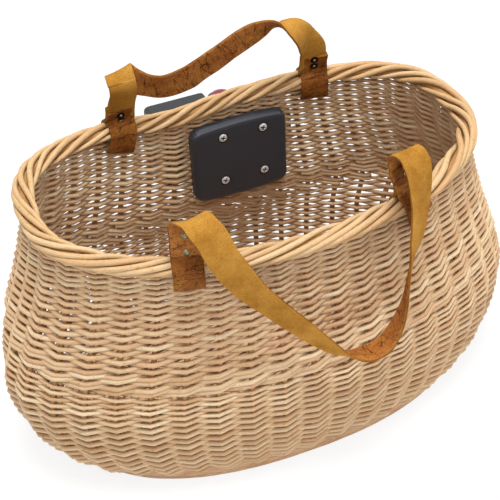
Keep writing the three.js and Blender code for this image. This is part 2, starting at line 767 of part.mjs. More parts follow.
function rearKnots() {
  const left = hingePoint(rearLeft, REAR_LOOP_TOP, rearLean);
  const right = hingePoint(rearRight, REAR_LOOP_TOP, rearLean);
  const line = right.clone().sub(left).normalize();
  const back = line.clone().negate();
  const stub = new THREE.Vector3(0, 0, 2 * STRAP_THICKNESS);
  const knots = [[left, line], [left.clone().add(stub), line]];
  for (const [span, rise, lean, wx, wy, wz] of rearRows) {
    const centre = left.clone().lerp(right, span);
    centre.y -= REAR_ARCH_HEIGHT * lean;
    centre.z += REAR_ARCH_HEIGHT * rise;
    knots.push([centre, new THREE.Vector3(wx, wy, wz)]);
  }
  knots.push([right.clone().add(stub), back], [right, back]);
  return knots;
}

// Plate-like solids: rounded rectangles in X and Z, stacked along Y. A bow arches the top and
// the bottom edge outward in the middle.

function roundedRing(level) {
  const ring = [];
  const perCorner = 5;
  const perEdge = level.bow ? 8 : 1;
  const cornerX = level.width / 2 - level.corner;
  const cornerZ = level.height / 2 - level.corner;
  for (let quarter = 0; quarter < 4; quarter += 1) {
    const signX = quarter === 0 || quarter === 3 ? 1 : -1;
    const signZ = quarter < 2 ? 1 : -1;
    for (let k = 0; k < perCorner; k += 1) {
      const angle = (quarter + k / (perCorner - 1)) * Math.PI / 2;
      ring.push([
        signX * cornerX + level.corner * Math.cos(angle),
        signZ * cornerZ + level.corner * Math.sin(angle),
      ]);
    }
    if (quarter % 2 === 0) {
      for (let k = 1; k < perEdge; k += 1) {
        ring.push([signX * cornerX * (1 - 2 * k / perEdge), signZ * level.height / 2]);
      }
    }
  }
  return ring.map(([x, z]) => {
    const arch = (level.bow || 0) * (1 - (2 * x / level.width) ** 2);
    return new THREE.Vector3(level.x + x, level.y, level.z + z + Math.sign(z) * arch);
  });
}

function roundedStack(levels) {
  return ringSolid(levels.map(roundedRing).reverse(), false);
}

function box(x0, x1, y0, y1, z0, z1) {
  const geometry = new THREE.BoxGeometry(x1 - x0, y1 - y0, z1 - z0);
  geometry.translate((x0 + x1) / 2, (y0 + y1) / 2, (z0 + z1) / 2);
  return geometry;
}

function cylinderY(x, z, y0, y1, radius, steps = ROUND_STEPS) {
  const geometry = new THREE.CylinderGeometry(radius, radius, y1 - y0, steps);
  geometry.translate(x, (y0 + y1) / 2, z);
  return geometry;
}

function cylinderX(x0, x1, y, z, radius, steps = ROUND_STEPS) {
  const geometry = new THREE.CylinderGeometry(radius, radius, x1 - x0, steps);
  geometry.rotateZ(Math.PI / 2);
  geometry.translate((x0 + x1) / 2, y, z);
  return geometry;
}

function cylinderZ(x, y, z0, z1, radius, steps = ROUND_STEPS) {
  const geometry = new THREE.CylinderGeometry(radius, radius, z1 - z0, steps);
  geometry.rotateX(Math.PI / 2);
  geometry.translate(x, y, (z0 + z1) / 2);
  return geometry;
}

// Places along Y for everything that is clamped through the rear wall. The plate and the bracket
// lie against the bulges of the weave between them.
const PLATE_TOP = RIM_HEIGHT - PLATE_DROP;
const PLATE_MIDDLE = PLATE_TOP - PLATE_HEIGHT / 2;

function clampedWeave() {
  const window = box(
    MOUNT_X - PLATE_WIDTH / 2, MOUNT_X + PLATE_WIDTH / 2, 0, 2 * BELLY_REAR_REACH,
    PLATE_TOP - PLATE_HEIGHT - PLATE_BOW, PLATE_TOP + PLATE_BOW,
  );
  return toSolid(upperShell).intersect(toSolid(window)).boundingBox();
}

const clamped = clampedWeave();
const PLATE_BACK = clamped.min[1] - SEAT_GAP;
const PLATE_FACE = PLATE_BACK - PLATE_THICKNESS;
const BRACKET_FRONT = clamped.max[1] + SEAT_GAP;
const BRACKET_BACK = BRACKET_FRONT + BRACKET_THICKNESS;
const SCREW_MIDDLE = PLATE_MIDDLE + SCREW_RISE;
const HOUSING_FRONT = BRACKET_BACK + SEAT_GAP;
const HOUSING_BACK = HOUSING_FRONT + HOUSING_DEPTH;
const HOUSING_TOP = PLATE_TOP - HOUSING_DROP;
const BAR_HEIGHT = PLATE_TOP - BAR_DROP;
const HOUSING_BOTTOM = BAR_HEIGHT - CLAMP_HALF_HEIGHT + HOUSING_FOOT;
const LOCK_TOP = HOUSING_TOP + LOCK_RISE;
const BOSS_TOP = HOUSING_TOP - BOSS_STEP;
const BOSS_BOTTOM = BAR_HEIGHT + BAR_RADIUS + BAR_HEADROOM;
const LOCK_BACK = HOUSING_FRONT + LOCK_FRONT + LOCK_DEPTH;
const BARREL_Y = LOCK_BACK - LOCK_DEPTH / 2;
const BARREL_Z = LOCK_TOP - LOCK_HEIGHT / 2;

const screwPlaces = [];
for (const sx of [-1, 1]) {
  for (const sz of [-1, 1]) {
    screwPlaces.push([
      MOUNT_X + SCREW_SHIFT + sx * SCREW_SPACING_X / 2, SCREW_MIDDLE + sz * SCREW_SPACING_Z / 2,
    ]);
  }
}

function screwBores(y0, y1) {
  return screwPlaces.map(([x, z]) => cylinderY(
    x, z, y0, y1, SCREW_RADIUS + BOLT_CLEARANCE, BORE_STEPS,
  ));
}

const plateOutline = {
  x: MOUNT_X, z: PLATE_MIDDLE, width: PLATE_WIDTH, height: PLATE_HEIGHT, corner: PLATE_CORNER,
  bow: PLATE_BOW,
};

function makeInnerPlate() {
  const levels = [];
  for (let k = 0; k <= PLATE_ROUNDING_STEPS; k += 1) {
    const turn = k / PLATE_ROUNDING_STEPS * Math.PI / 2;
    const inset = PLATE_ROUNDING * (1 - Math.sin(turn));
    levels.push({
      ...plateOutline,
      y: PLATE_FACE + PLATE_ROUNDING * (1 - Math.cos(turn)),
      width: PLATE_WIDTH - 2 * inset,
      height: PLATE_HEIGHT - 2 * inset,
      corner: PLATE_CORNER - inset,
    });
  }
  const blank = roundedStack([...levels, { ...plateOutline, y: PLATE_BACK }]);
  const recesses = screwPlaces.map(([x, z]) => cylinderY(
    x, z, PLATE_FACE - OVERRUN, PLATE_FACE + SCREW_RECESS_DEPTH, SCREW_RECESS_RADIUS,
  ));
  return cut(blank, [...recesses, ...screwBores(PLATE_FACE, PLATE_BACK + OVERRUN)]);
}

function makeScrew(x, z) {
  const under = PLATE_FACE + SCREW_RECESS_DEPTH - SEAT_GAP;
  const tip = BRACKET_BACK - 0.5;
  const profile = [
    new THREE.Vector2(0, under - SCREW_HEAD_HEIGHT),
    new THREE.Vector2(SCREW_HEAD_RADIUS * 0.7, under - SCREW_HEAD_HEIGHT * 0.85),
    new THREE.Vector2(SCREW_HEAD_RADIUS, under - SCREW_HEAD_HEIGHT * 0.4),
    new THREE.Vector2(SCREW_HEAD_RADIUS, under),
    new THREE.Vector2(SCREW_RADIUS, under),
    new THREE.Vector2(SCREW_RADIUS, tip),
    new THREE.Vector2(0, tip),
  ];
  return new THREE.LatheGeometry(profile, 16).translate(x, 0, z);
}

function hexNut(x, z, y0, y1, radius) {
  return cylinderY(x, z, y0, y1, radius, 6);
}

function makeNut(x, z) {
  const back = BRACKET_BACK - SEAT_GAP;
  const nut = hexNut(x, z, back - NUT_HEIGHT, back, NUT_RADIUS);
  const bore = cylinderY(
    x, z, back - NUT_HEIGHT - OVERRUN, back + OVERRUN, SCREW_RADIUS + BOLT_CLEARANCE, BORE_STEPS,
  );
  return cut(nut, [bore]);
}

// Release mechanism levels
const BUTTON_Y = HOUSING_FRONT + BUTTON_SETBACK;
const SKIRT_TOP = BOSS_TOP + BUTTON_STAND;
const SKIRT_BOTTOM = SKIRT_TOP - BUTTON_SKIRT;
const RAMP_TOP = SKIRT_BOTTOM - RELEASE_TRAVEL - SLIDE_GAP;
const LATCH_TOP = RAMP_TOP - LATCH_RAMP;
const LATCH_BOTTOM = LATCH_TOP - LATCH_THICKNESS;
const LATCH_TIP = BRACKET_BACK - LATCH_REACH;
const RAMP_FRONT = BUTTON_Y - LATCH_RAMP / 2;
const LATCH_BACK = RAMP_FRONT + LATCH_RAMP + LATCH_HEEL;
const SPRING_FLOOR = LATCH_TOP - SPRING_POCKET;
const SPRING_X = LATCH_HALF_WIDTH + SLIDE_GAP + SPRING_RADIUS + 2 * SPRING_WIRE;

// Side profile in Y and Z, extruded across X
function sideExtrusion(points, halfWidth, centreX) {
  const outline = new THREE.Shape(points.map(([y, z]) => new THREE.Vector2(y, z)));
  const geometry = new THREE.ExtrudeGeometry(outline, { depth: 2 * halfWidth, bevelEnabled: false });
  const turn = new THREE.Matrix4().makeBasis(
    new THREE.Vector3(0, 1, 0), new THREE.Vector3(0, 0, 1), new THREE.Vector3(1, 0, 0),
  );
  geometry.applyMatrix4(turn);
  geometry.translate(centreX - halfWidth, 0, 0);
  return geometry;
}

function railParts(grow) {
  const railBottom = PLATE_MIDDLE - RAIL_LENGTH / 2 - grow;
  const railTop = PLATE_MIDDLE + RAIL_LENGTH / 2;
  const top = grow > 0 ? LOCK_TOP + OVERRUN : railTop;
  const parts = [];
  for (const side of [-1, 1]) {
    const x = MOUNT_X + side * RAIL_SPREAD;
    const neck = RAIL_NECK_WIDTH / 2 + grow;
    const lip = RAIL_LIP_WIDTH / 2 + grow;
    const neckEnd = BRACKET_BACK + RAIL_NECK_DEPTH;
    parts.push(box(x - neck, x + neck, BRACKET_BACK - OVERRUN, neckEnd + OVERRUN, railBottom, top));
    parts.push(box(x - lip, x + lip, neckEnd - grow, neckEnd + RAIL_LIP_DEPTH + grow, railBottom, top));
  }
  return parts;
}

function makeBracket() {
  const blank = roundedStack([
    { ...plateOutline, y: BRACKET_FRONT },
    { ...plateOutline, y: BRACKET_BACK },
  ]);
  const body = toGeometry(joined([blank, ...railParts(0)]));
  const pockets = screwPlaces.map(([x, z]) => hexNut(
    x, z, BRACKET_BACK - NUT_HEIGHT - 2 * SEAT_GAP, BRACKET_BACK + OVERRUN, NUT_RADIUS + SEAT_GAP,
  ));
  const catchPocket = box(
    BUTTON_X - LATCH_HALF_WIDTH - SLIDE_GAP, BUTTON_X + LATCH_HALF_WIDTH + SLIDE_GAP,
    LATCH_TIP - SLIDE_GAP, BRACKET_BACK + OVERRUN,
    LATCH_BOTTOM - SLIDE_GAP, LATCH_TOP + SLIDE_GAP,
  );
  const bores = screwBores(BRACKET_FRONT - OVERRUN, BRACKET_BACK + OVERRUN);
  return cut(body, [...pockets, catchPocket, ...bores]);
}

const BAR_Y = HOUSING_FRONT + BAR_SETBACK;
const ARM_BACK = BAR_Y - CLAMP_SPLIT / 2;
const CAP_FRONT = BAR_Y + CLAMP_SPLIT / 2;
const FLANGE_BACK = CAP_FRONT + CAP_FLANGE;

function clampBoltBores(side, y0, y1) {
  const x = MOUNT_X + side * (CLAMP_INNER_EDGE + CLAMP_OUTER_EDGE) / 2;
  const radius = CLAMP_BOLT_RADIUS + BOLT_CLEARANCE;
  return [-1, 1].map((up) => cylinderY(x, BAR_HEIGHT + up * CLAMP_BOLT_SPREAD, y0, y1, radius, 12));
}

function clampArm(side) {
  const inner = MOUNT_X + side * CLAMP_INNER_EDGE;
  const outer = MOUNT_X + side * CLAMP_OUTER_EDGE;
  const armFront = HOUSING_FRONT + ARM_FRONT;
  const knee = ARM_BACK - CLAMP_BOLT_LENGTH / 2 - CLAMP_KNEE_WALL;
  const kneeDrop = CLAMP_HALF_HEIGHT / 3;
  const low = BAR_HEIGHT - CLAMP_HALF_HEIGHT;
  const high = BAR_HEIGHT + CLAMP_HALF_HEIGHT;
  return sideExtrusion(
    [
      [armFront, low + kneeDrop],
      [knee, low],
      [ARM_BACK, low],
      [ARM_BACK, high],
      [armFront, high],
    ],
    (CLAMP_OUTER_EDGE - CLAMP_INNER_EDGE) / 2,
    (inner + outer) / 2,
  );
}

function makeLockBlock() {
  const size = {
    x: (LOCK_LEFT + LOCK_RIGHT) / 2,
    z: BARREL_Z,
    width: LOCK_RIGHT - LOCK_LEFT,
    height: LOCK_HEIGHT,
    corner: LOCK_CORNER,
  };
  return roundedStack([{ ...size, y: HOUSING_FRONT + LOCK_FRONT }, { ...size, y: LOCK_BACK }]);
}

function makeHousing() {
  const middle = (HOUSING_TOP + HOUSING_BOTTOM) / 2;
  const height = HOUSING_TOP - HOUSING_BOTTOM;
  const size = { x: MOUNT_X, z: middle, width: 2 * HOUSING_HALF_WIDTH, height, corner: HOUSING_CORNER };
  const body = roundedStack([{ ...size, y: HOUSING_FRONT }, { ...size, y: HOUSING_BACK }]);
  const boss = cylinderZ(BUTTON_X, BUTTON_Y, BOSS_BOTTOM, BOSS_TOP, BUTTON_RADIUS + SLIDE_GAP + BOSS_WALL);
  const bridge = box(
    BUTTON_X - BUTTON_RADIUS, BUTTON_X + BUTTON_RADIUS,
    HOUSING_FRONT + OVERRUN, BUTTON_Y, BOSS_BOTTOM, BOSS_TOP,
  );
  const solid = joined([body, makeLockBlock(), boss, bridge, clampArm(-1), clampArm(1)]);
  const tools = [
    cylinderX(
      MOUNT_X - CLAMP_OUTER_EDGE - OVERRUN, MOUNT_X + CLAMP_OUTER_EDGE + OVERRUN,
      BAR_Y, BAR_HEIGHT, BAR_RADIUS, BAR_STEPS,
    ),
    ...clampBoltBores(-1, FLANGE_BACK - CLAMP_BOLT_LENGTH, ARM_BACK + OVERRUN),
    ...clampBoltBores(1, FLANGE_BACK - CLAMP_BOLT_LENGTH, ARM_BACK + OVERRUN),
    ...railParts(SLIDE_GAP),
    cylinderZ(BUTTON_X, BUTTON_Y, SPRING_FLOOR, BOSS_TOP + OVERRUN, BUTTON_RADIUS + SLIDE_GAP),
    box(
      BUTTON_X - LATCH_HALF_WIDTH - SLIDE_GAP, BUTTON_X + LATCH_HALF_WIDTH + SLIDE_GAP,
      HOUSING_FRONT - OVERRUN, LATCH_BACK + RELEASE_TRAVEL + SLIDE_GAP,
      LATCH_BOTTOM - SLIDE_GAP, RAMP_TOP + SLIDE_GAP,
    ),
    cylinderX(
      LOCK_LEFT - OVERRUN, LOCK_LEFT + BARREL_SHANK_LENGTH + SLIDE_GAP, BARREL_Y, BARREL_Z,
      BARREL_SHANK_RADIUS + SLIDE_GAP,
    ),
  ];
  return cut(toGeometry(solid), tools);
}

function makeLockBarrel() {
  const headEnd = LOCK_LEFT - SEAT_GAP;
  const headStart = headEnd - BARREL_HEAD;
  const profile = [
    new THREE.Vector2(0, headStart),
    new THREE.Vector2(BARREL_RADIUS - BARREL_CHAMFER, headStart),
    new THREE.Vector2(BARREL_RADIUS, headStart + BARREL_CHAMFER),
    new THREE.Vector2(BARREL_RADIUS, headEnd),
    new THREE.Vector2(BARREL_SHANK_RADIUS, headEnd),
    new THREE.Vector2(BARREL_SHANK_RADIUS, LOCK_LEFT + BARREL_SHANK_LENGTH),
    new THREE.Vector2(0, LOCK_LEFT + BARREL_SHANK_LENGTH),
  ];
  const barrel = new THREE.LatheGeometry(profile, ROUND_STEPS);
  barrel.rotateZ(-Math.PI / 2);
  barrel.translate(0, BARREL_Y, BARREL_Z);
  const keyway = box(
    headStart - OVERRUN, headStart + KEYWAY_DEPTH,
    BARREL_Y - KEYWAY_WIDTH / 2, BARREL_Y + KEYWAY_WIDTH / 2,
    BARREL_Z - KEYWAY_HEIGHT / 2, BARREL_Z + KEYWAY_HEIGHT / 2,
  );
  return cut(barrel, [keyway]);
}

function makeClampCap(side) {
  const inner = MOUNT_X + side * CLAMP_INNER_EDGE;
  const outer = MOUNT_X + side * CLAMP_OUTER_EDGE;
  const x0 = Math.min(inner, outer);
  const x1 = Math.max(inner, outer);
  const flange = box(
    x0, x1, CAP_FRONT, FLANGE_BACK, BAR_HEIGHT - CLAMP_HALF_HEIGHT, BAR_HEIGHT + CLAMP_HALF_HEIGHT,
  );
  const round = cylinderX(x0, x1, BAR_Y, BAR_HEIGHT, BAR_RADIUS + CAP_THICKNESS, BAR_STEPS);
  const bore = cylinderX(x0 - OVERRUN, x1 + OVERRUN, BAR_Y, BAR_HEIGHT, BAR_RADIUS, BAR_STEPS);
  const reach = BAR_RADIUS + CAP_THICKNESS + CAP_FLANGE;
  const frontHalf = box(
    x0 - OVERRUN, x1 + OVERRUN, BAR_Y - reach, CAP_FRONT, BAR_HEIGHT - reach, BAR_HEIGHT + reach,
  );
  const blank = toGeometry(joined([flange, round]));
  const headSeats = clampBoltBores(side, CAP_FRONT - OVERRUN, FLANGE_BACK + OVERRUN);
  return cut(blank, [bore, frontHalf, ...headSeats]);
}

function makeClampBolt(side, up) {
  const x = MOUNT_X + side * (CLAMP_INNER_EDGE + CLAMP_OUTER_EDGE) / 2;
  const z = BAR_HEIGHT + up * CLAMP_BOLT_SPREAD;
  const seat = FLANGE_BACK + SEAT_GAP;
  const profile = [
    new THREE.Vector2(0, seat - CLAMP_BOLT_LENGTH),
    new THREE.Vector2(CLAMP_BOLT_RADIUS, seat - CLAMP_BOLT_LENGTH),
    new THREE.Vector2(CLAMP_BOLT_RADIUS, seat),
    new THREE.Vector2(BOLT_HEAD_RADIUS, seat),
    new THREE.Vector2(BOLT_HEAD_RADIUS, seat + BOLT_HEAD_HEIGHT),
    new THREE.Vector2(BOLT_HEAD_RADIUS * 0.5, seat + BOLT_HEAD_HEIGHT),
    new THREE.Vector2(BOLT_HEAD_RADIUS * 0.5, seat + BOLT_HEAD_HEIGHT / 2),
    new THREE.Vector2(0, seat + BOLT_HEAD_HEIGHT / 2),
  ];
  return new THREE.LatheGeometry(profile, 12).translate(x, 0, z);
}

function makeButton() {
  const profile = [
    new THREE.Vector2(0, SKIRT_BOTTOM),
    new THREE.Vector2(BUTTON_RADIUS, SKIRT_BOTTOM),
    new THREE.Vector2(BUTTON_RADIUS, SKIRT_TOP),
    new THREE.Vector2(BUTTON_RADIUS * 0.92, SKIRT_TOP + BUTTON_DOME * 0.42),
    new THREE.Vector2(BUTTON_RADIUS * 0.7, SKIRT_TOP + BUTTON_DOME * 0.74),
    new THREE.Vector2(BUTTON_RADIUS * 0.38, SKIRT_TOP + BUTTON_DOME * 0.94),
    new THREE.Vector2(0, SKIRT_TOP + BUTTON_DOME),
  ];
  const dome = new THREE.LatheGeometry(profile, ROUND_STEPS);
  dome.rotateX(Math.PI / 2);
  dome.translate(BUTTON_X, BUTTON_Y, 0);
  const rampGap = SEAT_GAP * Math.SQRT2;
  const wedgeFront = BUTTON_Y - WEDGE_LENGTH;
  const wedgeBottom = LATCH_TOP + RELEASE_TRAVEL + SLIDE_GAP;
  const faceAt = (z) => RAMP_FRONT + (z - LATCH_TOP) - rampGap;
  const wedge = sideExtrusion(
    [
      [wedgeFront, wedgeBottom],
      [faceAt(wedgeBottom), wedgeBottom],
      [faceAt(SKIRT_BOTTOM), SKIRT_BOTTOM],
      [faceAt(SKIRT_BOTTOM), SKIRT_BOTTOM + OVERRUN],
      [wedgeFront, SKIRT_BOTTOM + OVERRUN],
    ],
    LATCH_HALF_WIDTH - SLIDE_GAP,
    BUTTON_X,
  );
  return toGeometry(joined([dome, wedge]));
}

function makeLatch() {
  return sideExtrusion(
    [
      [LATCH_TIP, LATCH_BOTTOM],
      [LATCH_BACK, LATCH_BOTTOM],
      [LATCH_BACK, RAMP_TOP],
      [RAMP_FRONT + LATCH_RAMP, RAMP_TOP],
      [RAMP_FRONT, LATCH_TOP],
      [LATCH_TIP + LATCH_CHAMFER_LENGTH, LATCH_TOP],
      [LATCH_TIP, LATCH_TOP - LATCH_CHAMFER_DEPTH],
    ],
    LATCH_HALF_WIDTH,
    BUTTON_X,
  );
}

class Helix extends THREE.Curve {
  constructor(x, y, z0, z1, radius, turns) {
    super();
    Object.assign(this, { x, y, z0, z1, radius, turns });
  }

  getPoint(share, target = new THREE.Vector3()) {
    const angle = share * this.turns * 2 * Math.PI;
    return target.set(
      this.x + this.radius * Math.cos(angle),
      this.y + this.radius * Math.sin(angle),
      mix(this.z0, this.z1, share),
    );
  }
}

function makeSpring(side) {
  const bottom = SPRING_FLOOR + SEAT_GAP + SPRING_WIRE;
  const top = SKIRT_BOTTOM - SEAT_GAP - SPRING_WIRE;
  const sides = 5;
  const wire = new THREE.Shape();
  for (let i = 0; i < sides; i += 1) {
    const angle = i * 2 * Math.PI / sides;
    wire[i === 0 ? 'moveTo' : 'lineTo'](SPRING_WIRE * Math.cos(angle), SPRING_WIRE * Math.sin(angle));
  }
  const path = new Helix(BUTTON_X + side * SPRING_X, BUTTON_Y, bottom, top, SPRING_RADIUS, SPRING_TURNS);
  return new THREE.ExtrudeGeometry(wire, {
    steps: SPRING_TURNS * 8, extrudePath: path, bevelEnabled: false,
  });
}

// Assembly

addPiece('woven_base', makeBase(), finishes.wickerFoot);
addPiece('foot_wale', wallShell(0, FOOT_STATION, 2, WALL), finishes.wickerFoot);
addPiece('lower_wall', lowerShell, finishes.wicker);
const transitionBand = wallShell(BAND_LOW_STATION, BAND_HIGH_STATION, 1, TRANSITION_WALL);
addPiece('transition_wale', transitionBand, finishes.wicker);

const loopSlots = loops.map(loopSlot);
const wallBores = screwBores(PLATE_BACK - WALL, BRACKET_FRONT + WALL);
addPiece('upper_wall', cut(upperShell, [...loopSlots, ...wallBores]), finishes.wicker);
addPiece('rim_border', makeRim(), finishes.rim);

for (const loop of loops) {
  const heights = Object.values(loop.rivets);
  addPiece(`${loop.name}_loop`, makeLoop(loop, heights), finishes.leather);
  for (const [level, height] of Object.entries(loop.rivets)) {
    addPiece(`${loop.name}_rivet_${level}`, makeRivet(loop.place, height, loop.lean), finishes.brass);
  }
}
addPiece('front_handle', makeRibbon(frontKnots(), 56), finishes.leather);
addPiece('rear_handle', makeRibbon(rearKnots(), 60), finishes.leather);

addPiece('inner_plate', makeInnerPlate(), finishes.darkPlastic);
screwPlaces.forEach(([x, z], i) => {
  addPiece(`plate_screw_${i + 1}`, makeScrew(x, z), finishes.zinc);
  addPiece(`bracket_nut_${i + 1}`, makeNut(x, z), finishes.zinc);
});
addPiece('outer_bracket', makeBracket(), finishes.darkPlastic);
addPiece('adapter_housing', makeHousing(), finishes.greyPlastic);
for (const [side, sideName] of [[-1, 'left'], [1, 'right']]) {
  addPiece(`clamp_cap_${sideName}`, makeClampCap(side), finishes.greyPlastic);
  addPiece(`clamp_bolt_${sideName}_low`, makeClampBolt(side, -1), finishes.zinc);
  addPiece(`clamp_bolt_${sideName}_high`, makeClampBolt(side, 1), finishes.zinc);
  addPiece(`button_spring_${sideName}`, makeSpring(side), finishes.zinc);
}
addPiece('release_button', makeButton(), finishes.redPlastic);
addPiece('latch', makeLatch(), finishes.darkPlastic);
addPiece('lock_barrel', makeLockBarrel(), finishes.darkPlastic);

export default group;
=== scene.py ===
"""Oval wicker handlebar basket: woven rods, rolled rim, leather handles and plastic mount."""
import math

import bpy
import numpy as np
from mathutils import Matrix, Vector


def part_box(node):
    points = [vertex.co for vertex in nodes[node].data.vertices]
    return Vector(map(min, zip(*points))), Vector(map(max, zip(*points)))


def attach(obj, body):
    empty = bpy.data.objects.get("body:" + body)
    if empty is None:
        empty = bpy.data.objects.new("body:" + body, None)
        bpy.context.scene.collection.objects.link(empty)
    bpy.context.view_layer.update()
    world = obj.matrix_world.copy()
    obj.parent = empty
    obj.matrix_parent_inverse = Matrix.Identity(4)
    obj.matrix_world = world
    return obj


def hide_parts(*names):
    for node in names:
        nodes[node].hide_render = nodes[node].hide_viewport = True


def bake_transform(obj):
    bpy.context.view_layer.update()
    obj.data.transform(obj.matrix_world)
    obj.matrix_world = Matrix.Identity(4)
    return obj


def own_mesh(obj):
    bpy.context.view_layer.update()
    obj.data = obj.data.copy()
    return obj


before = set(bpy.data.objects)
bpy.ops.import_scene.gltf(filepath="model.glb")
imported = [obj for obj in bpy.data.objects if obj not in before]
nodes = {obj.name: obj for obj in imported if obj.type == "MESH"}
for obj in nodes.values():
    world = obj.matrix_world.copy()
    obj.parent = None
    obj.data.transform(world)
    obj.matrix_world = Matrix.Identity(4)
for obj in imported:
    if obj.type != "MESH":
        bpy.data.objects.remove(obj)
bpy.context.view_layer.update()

MM = 0.001
rng = np.random.RandomState(7)

# Shell on the middle of its wall, in millimetres, as in the CAD model. Base, belly and rim: half
# length, front and rear reach
WALL = 10.0
BASE = (184.0, 100.0, 96.0)
BELLY = (244.0, 129.0, 126.0)
RIM = (200.0, 110.0, 117.0)
BELLY_HEIGHT = 98.0
RIM_HEIGHT = 250.0
RIM_END_RISE = 9.0
REAR_FLAT_START = 150.0
REAR_SAG = 6.5
REAR_SAG_PLACE = -38.0
REAR_SAG_WIDTH = 48.0
BASE_SQUARENESS = 2.3
BELLY_SQUARENESS = 1.95
RIM_FRONT_SQUARENESS = 2.1
RIM_REAR_SQUARENESS = 3.0

# Powers of the curve from the belly up to the rim
DRAW_IN_START = 1.4
DRAW_IN_END = 2

# Samples of the tables of heights and of angles
HEIGHT_SAMPLES = 801
ANGLE_SAMPLES = 2881

# Stakes, evenly spaced along the wall at STAKE_LEVEL; the first stands STAKE_PHASE of a gap past
# the left end. Places along the wall are counted in stakes
STAKES = 41
STAKE_RADIUS = 2.7
STAKE_PHASE = 0.017
STAKE_LEVEL = 126.0
STAKE_STATIONS = (0.02, 1.975)
STAKE_SAMPLES = 60

# Straps
STRAP_WIDTH = 26.0
STRAP_THICKNESS = 2.6

# Camera, fitted to the photograph: place, lens and sensor in millimetres, angles in degrees
CAMERA_PLACE = (-330.9, -848.7, 929.3)
CAMERA_AZIMUTH = -20.81
CAMERA_ELEVATION = 40.13
CAMERA_ROLL = -2.93
CAMERA_LENS = 93.6
SENSOR_WIDTH = 36.0
CAMERA_CLIP_END = 20


# Wall surface

def mix(low, high, share):
    return low + (high - low) * share


def oval(angle, half_length, front, rear, front_squareness, rear_squareness):
    """Plan points of the oval for arrays of angles and sizes."""
    c, s = np.cos(angle), np.sin(angle)
    power = np.where(s < 0, front_squareness, rear_squareness)
    reach = np.where(s < 0, front, rear)
    radius = (np.abs(c) ** power + np.abs(s) ** power) ** (-1 / power)
    return half_length * radius * c, reach * radius * s


def draw_in(share):
    """How far the wall has drawn in from the belly's outline to the rim's."""
    return 1 - (1 - np.clip(share, 0, 1) ** DRAW_IN_START) ** DRAW_IN_END


def rear_sag(x, y):
    """How far the rear edge hangs below the even rim line, beside the mount."""
    sag = REAR_SAG * np.exp(-(((x - REAR_SAG_PLACE) / REAR_SAG_WIDTH) ** 2))
    return np.where(y > 0, sag, 0)


def wall_point(station, angle):
    """Middle of the wall: station 0 is the edge of the base, 1 the belly and 2 the rim."""
    station, angle = np.broadcast_arrays(np.asarray(station, float), np.asarray(angle, float))
    turn = np.clip(station, 0, 1) * math.pi / 2
    out = np.sin(turn)
    squareness = mix(BASE_SQUARENESS, BELLY_SQUARENESS, out)
    sizes = [mix(low, high, out) for low, high in zip(BASE, BELLY)]
    low_x, low_y = oval(angle, *sizes, squareness, squareness)
    low_z = mix(WALL / 2, BELLY_HEIGHT, 1 - np.cos(turn))
    share = np.clip(station - 1, 0, 1)
    inward = draw_in(share)
    rear_inward = draw_in(share * (RIM_HEIGHT - BELLY_HEIGHT) / (REAR_FLAT_START - BELLY_HEIGHT))
    high_x, high_y = oval(angle, mix(BELLY[0], RIM[0], inward), mix(BELLY[1], RIM[1], inward),
                          mix(BELLY[2], RIM[2], rear_inward),
                          mix(BELLY_SQUARENESS, RIM_FRONT_SQUARENESS, inward),
                          mix(BELLY_SQUARENESS, RIM_REAR_SQUARENESS, rear_inward))
    top = RIM_HEIGHT + RIM_END_RISE * (high_x / RIM[0]) ** 2 - rear_sag(high_x, high_y) * share ** 2
    high_z = mix(BELLY_HEIGHT, top, share)
    low = station <= 1
    return np.stack([np.where(low, low_x, high_x), np.where(low, low_y, high_y),
                     np.where(low, low_z, high_z)], -1)


def unit(vectors):
    return vectors / np.maximum(np.linalg.norm(vectors, axis=-1, keepdims=True), 1e-9)


def lengths(points):
    """Length along a row of points up to each of them."""
    return np.concatenate([[0], np.cumsum(np.linalg.norm(np.diff(points, axis=0), axis=1))])


def wall_normal(station, angle):
    """Outward direction of the wall."""
    step = 0.003
    along = wall_point(station, angle + step) - wall_point(station, angle - step)
    above, below = np.minimum(station + step, 2), np.maximum(station - step, 0)
    up = wall_point(above, angle) - wall_point(below, angle)
    return unit(np.cross(along, up))


def rim_point(angle):
    """Even rim line, without the sag at the rear."""
    x, y = oval(angle, RIM[0], RIM[1], RIM[2], RIM_FRONT_SQUARENESS, RIM_REAR_SQUARENESS)
    return np.stack([x, y, RIM_HEIGHT + RIM_END_RISE * (x / RIM[0]) ** 2], -1)


def station_at(height):
    """Station of a height at the middle of the front."""
    if height >= BELLY_HEIGHT:
        return 1 + (height - BELLY_HEIGHT) / (RIM_HEIGHT - BELLY_HEIGHT)
    return math.acos(1 - (height - WALL / 2) / (BELLY_HEIGHT - WALL / 2)) * 2 / math.pi


def front_height_table():
    """Stations, arc lengths and heights up the middle of the front wall."""
    stations = np.linspace(0, 2, HEIGHT_SAMPLES)
    points = wall_point(stations, -math.pi / 2)
    return stations, lengths(points), points[:, 2]


STATIONS, ARCS, HEIGHTS = front_height_table()


def arc_at(height):
    return np.interp(height, HEIGHTS, ARCS)


def station_of_arc(arc):
    return np.interp(arc, ARCS, STATIONS)


def stake_angle_table():
    """Angle of a place counted in stakes from the left end, anticlockwise from above."""
    angles = np.linspace(-math.pi, math.pi, ANGLE_SAMPLES)
    arc = lengths(wall_point(station_at(STAKE_LEVEL), angles))
    return arc / arc[-1] * STAKES - STAKE_PHASE, angles


PLACES, ANGLES = stake_angle_table()


def stake_angle(place):
    turns = np.floor((np.asarray(place, float) + STAKE_PHASE) / STAKES)
    return np.interp(place - turns * STAKES, PLACES, ANGLES) + turns * 2 * math.pi


# Mesh helpers

ROD_SIDES = 8
RADIUS_WANDER = 0.02
UPWARD = np.array([0.0, 0.0, 1.0])


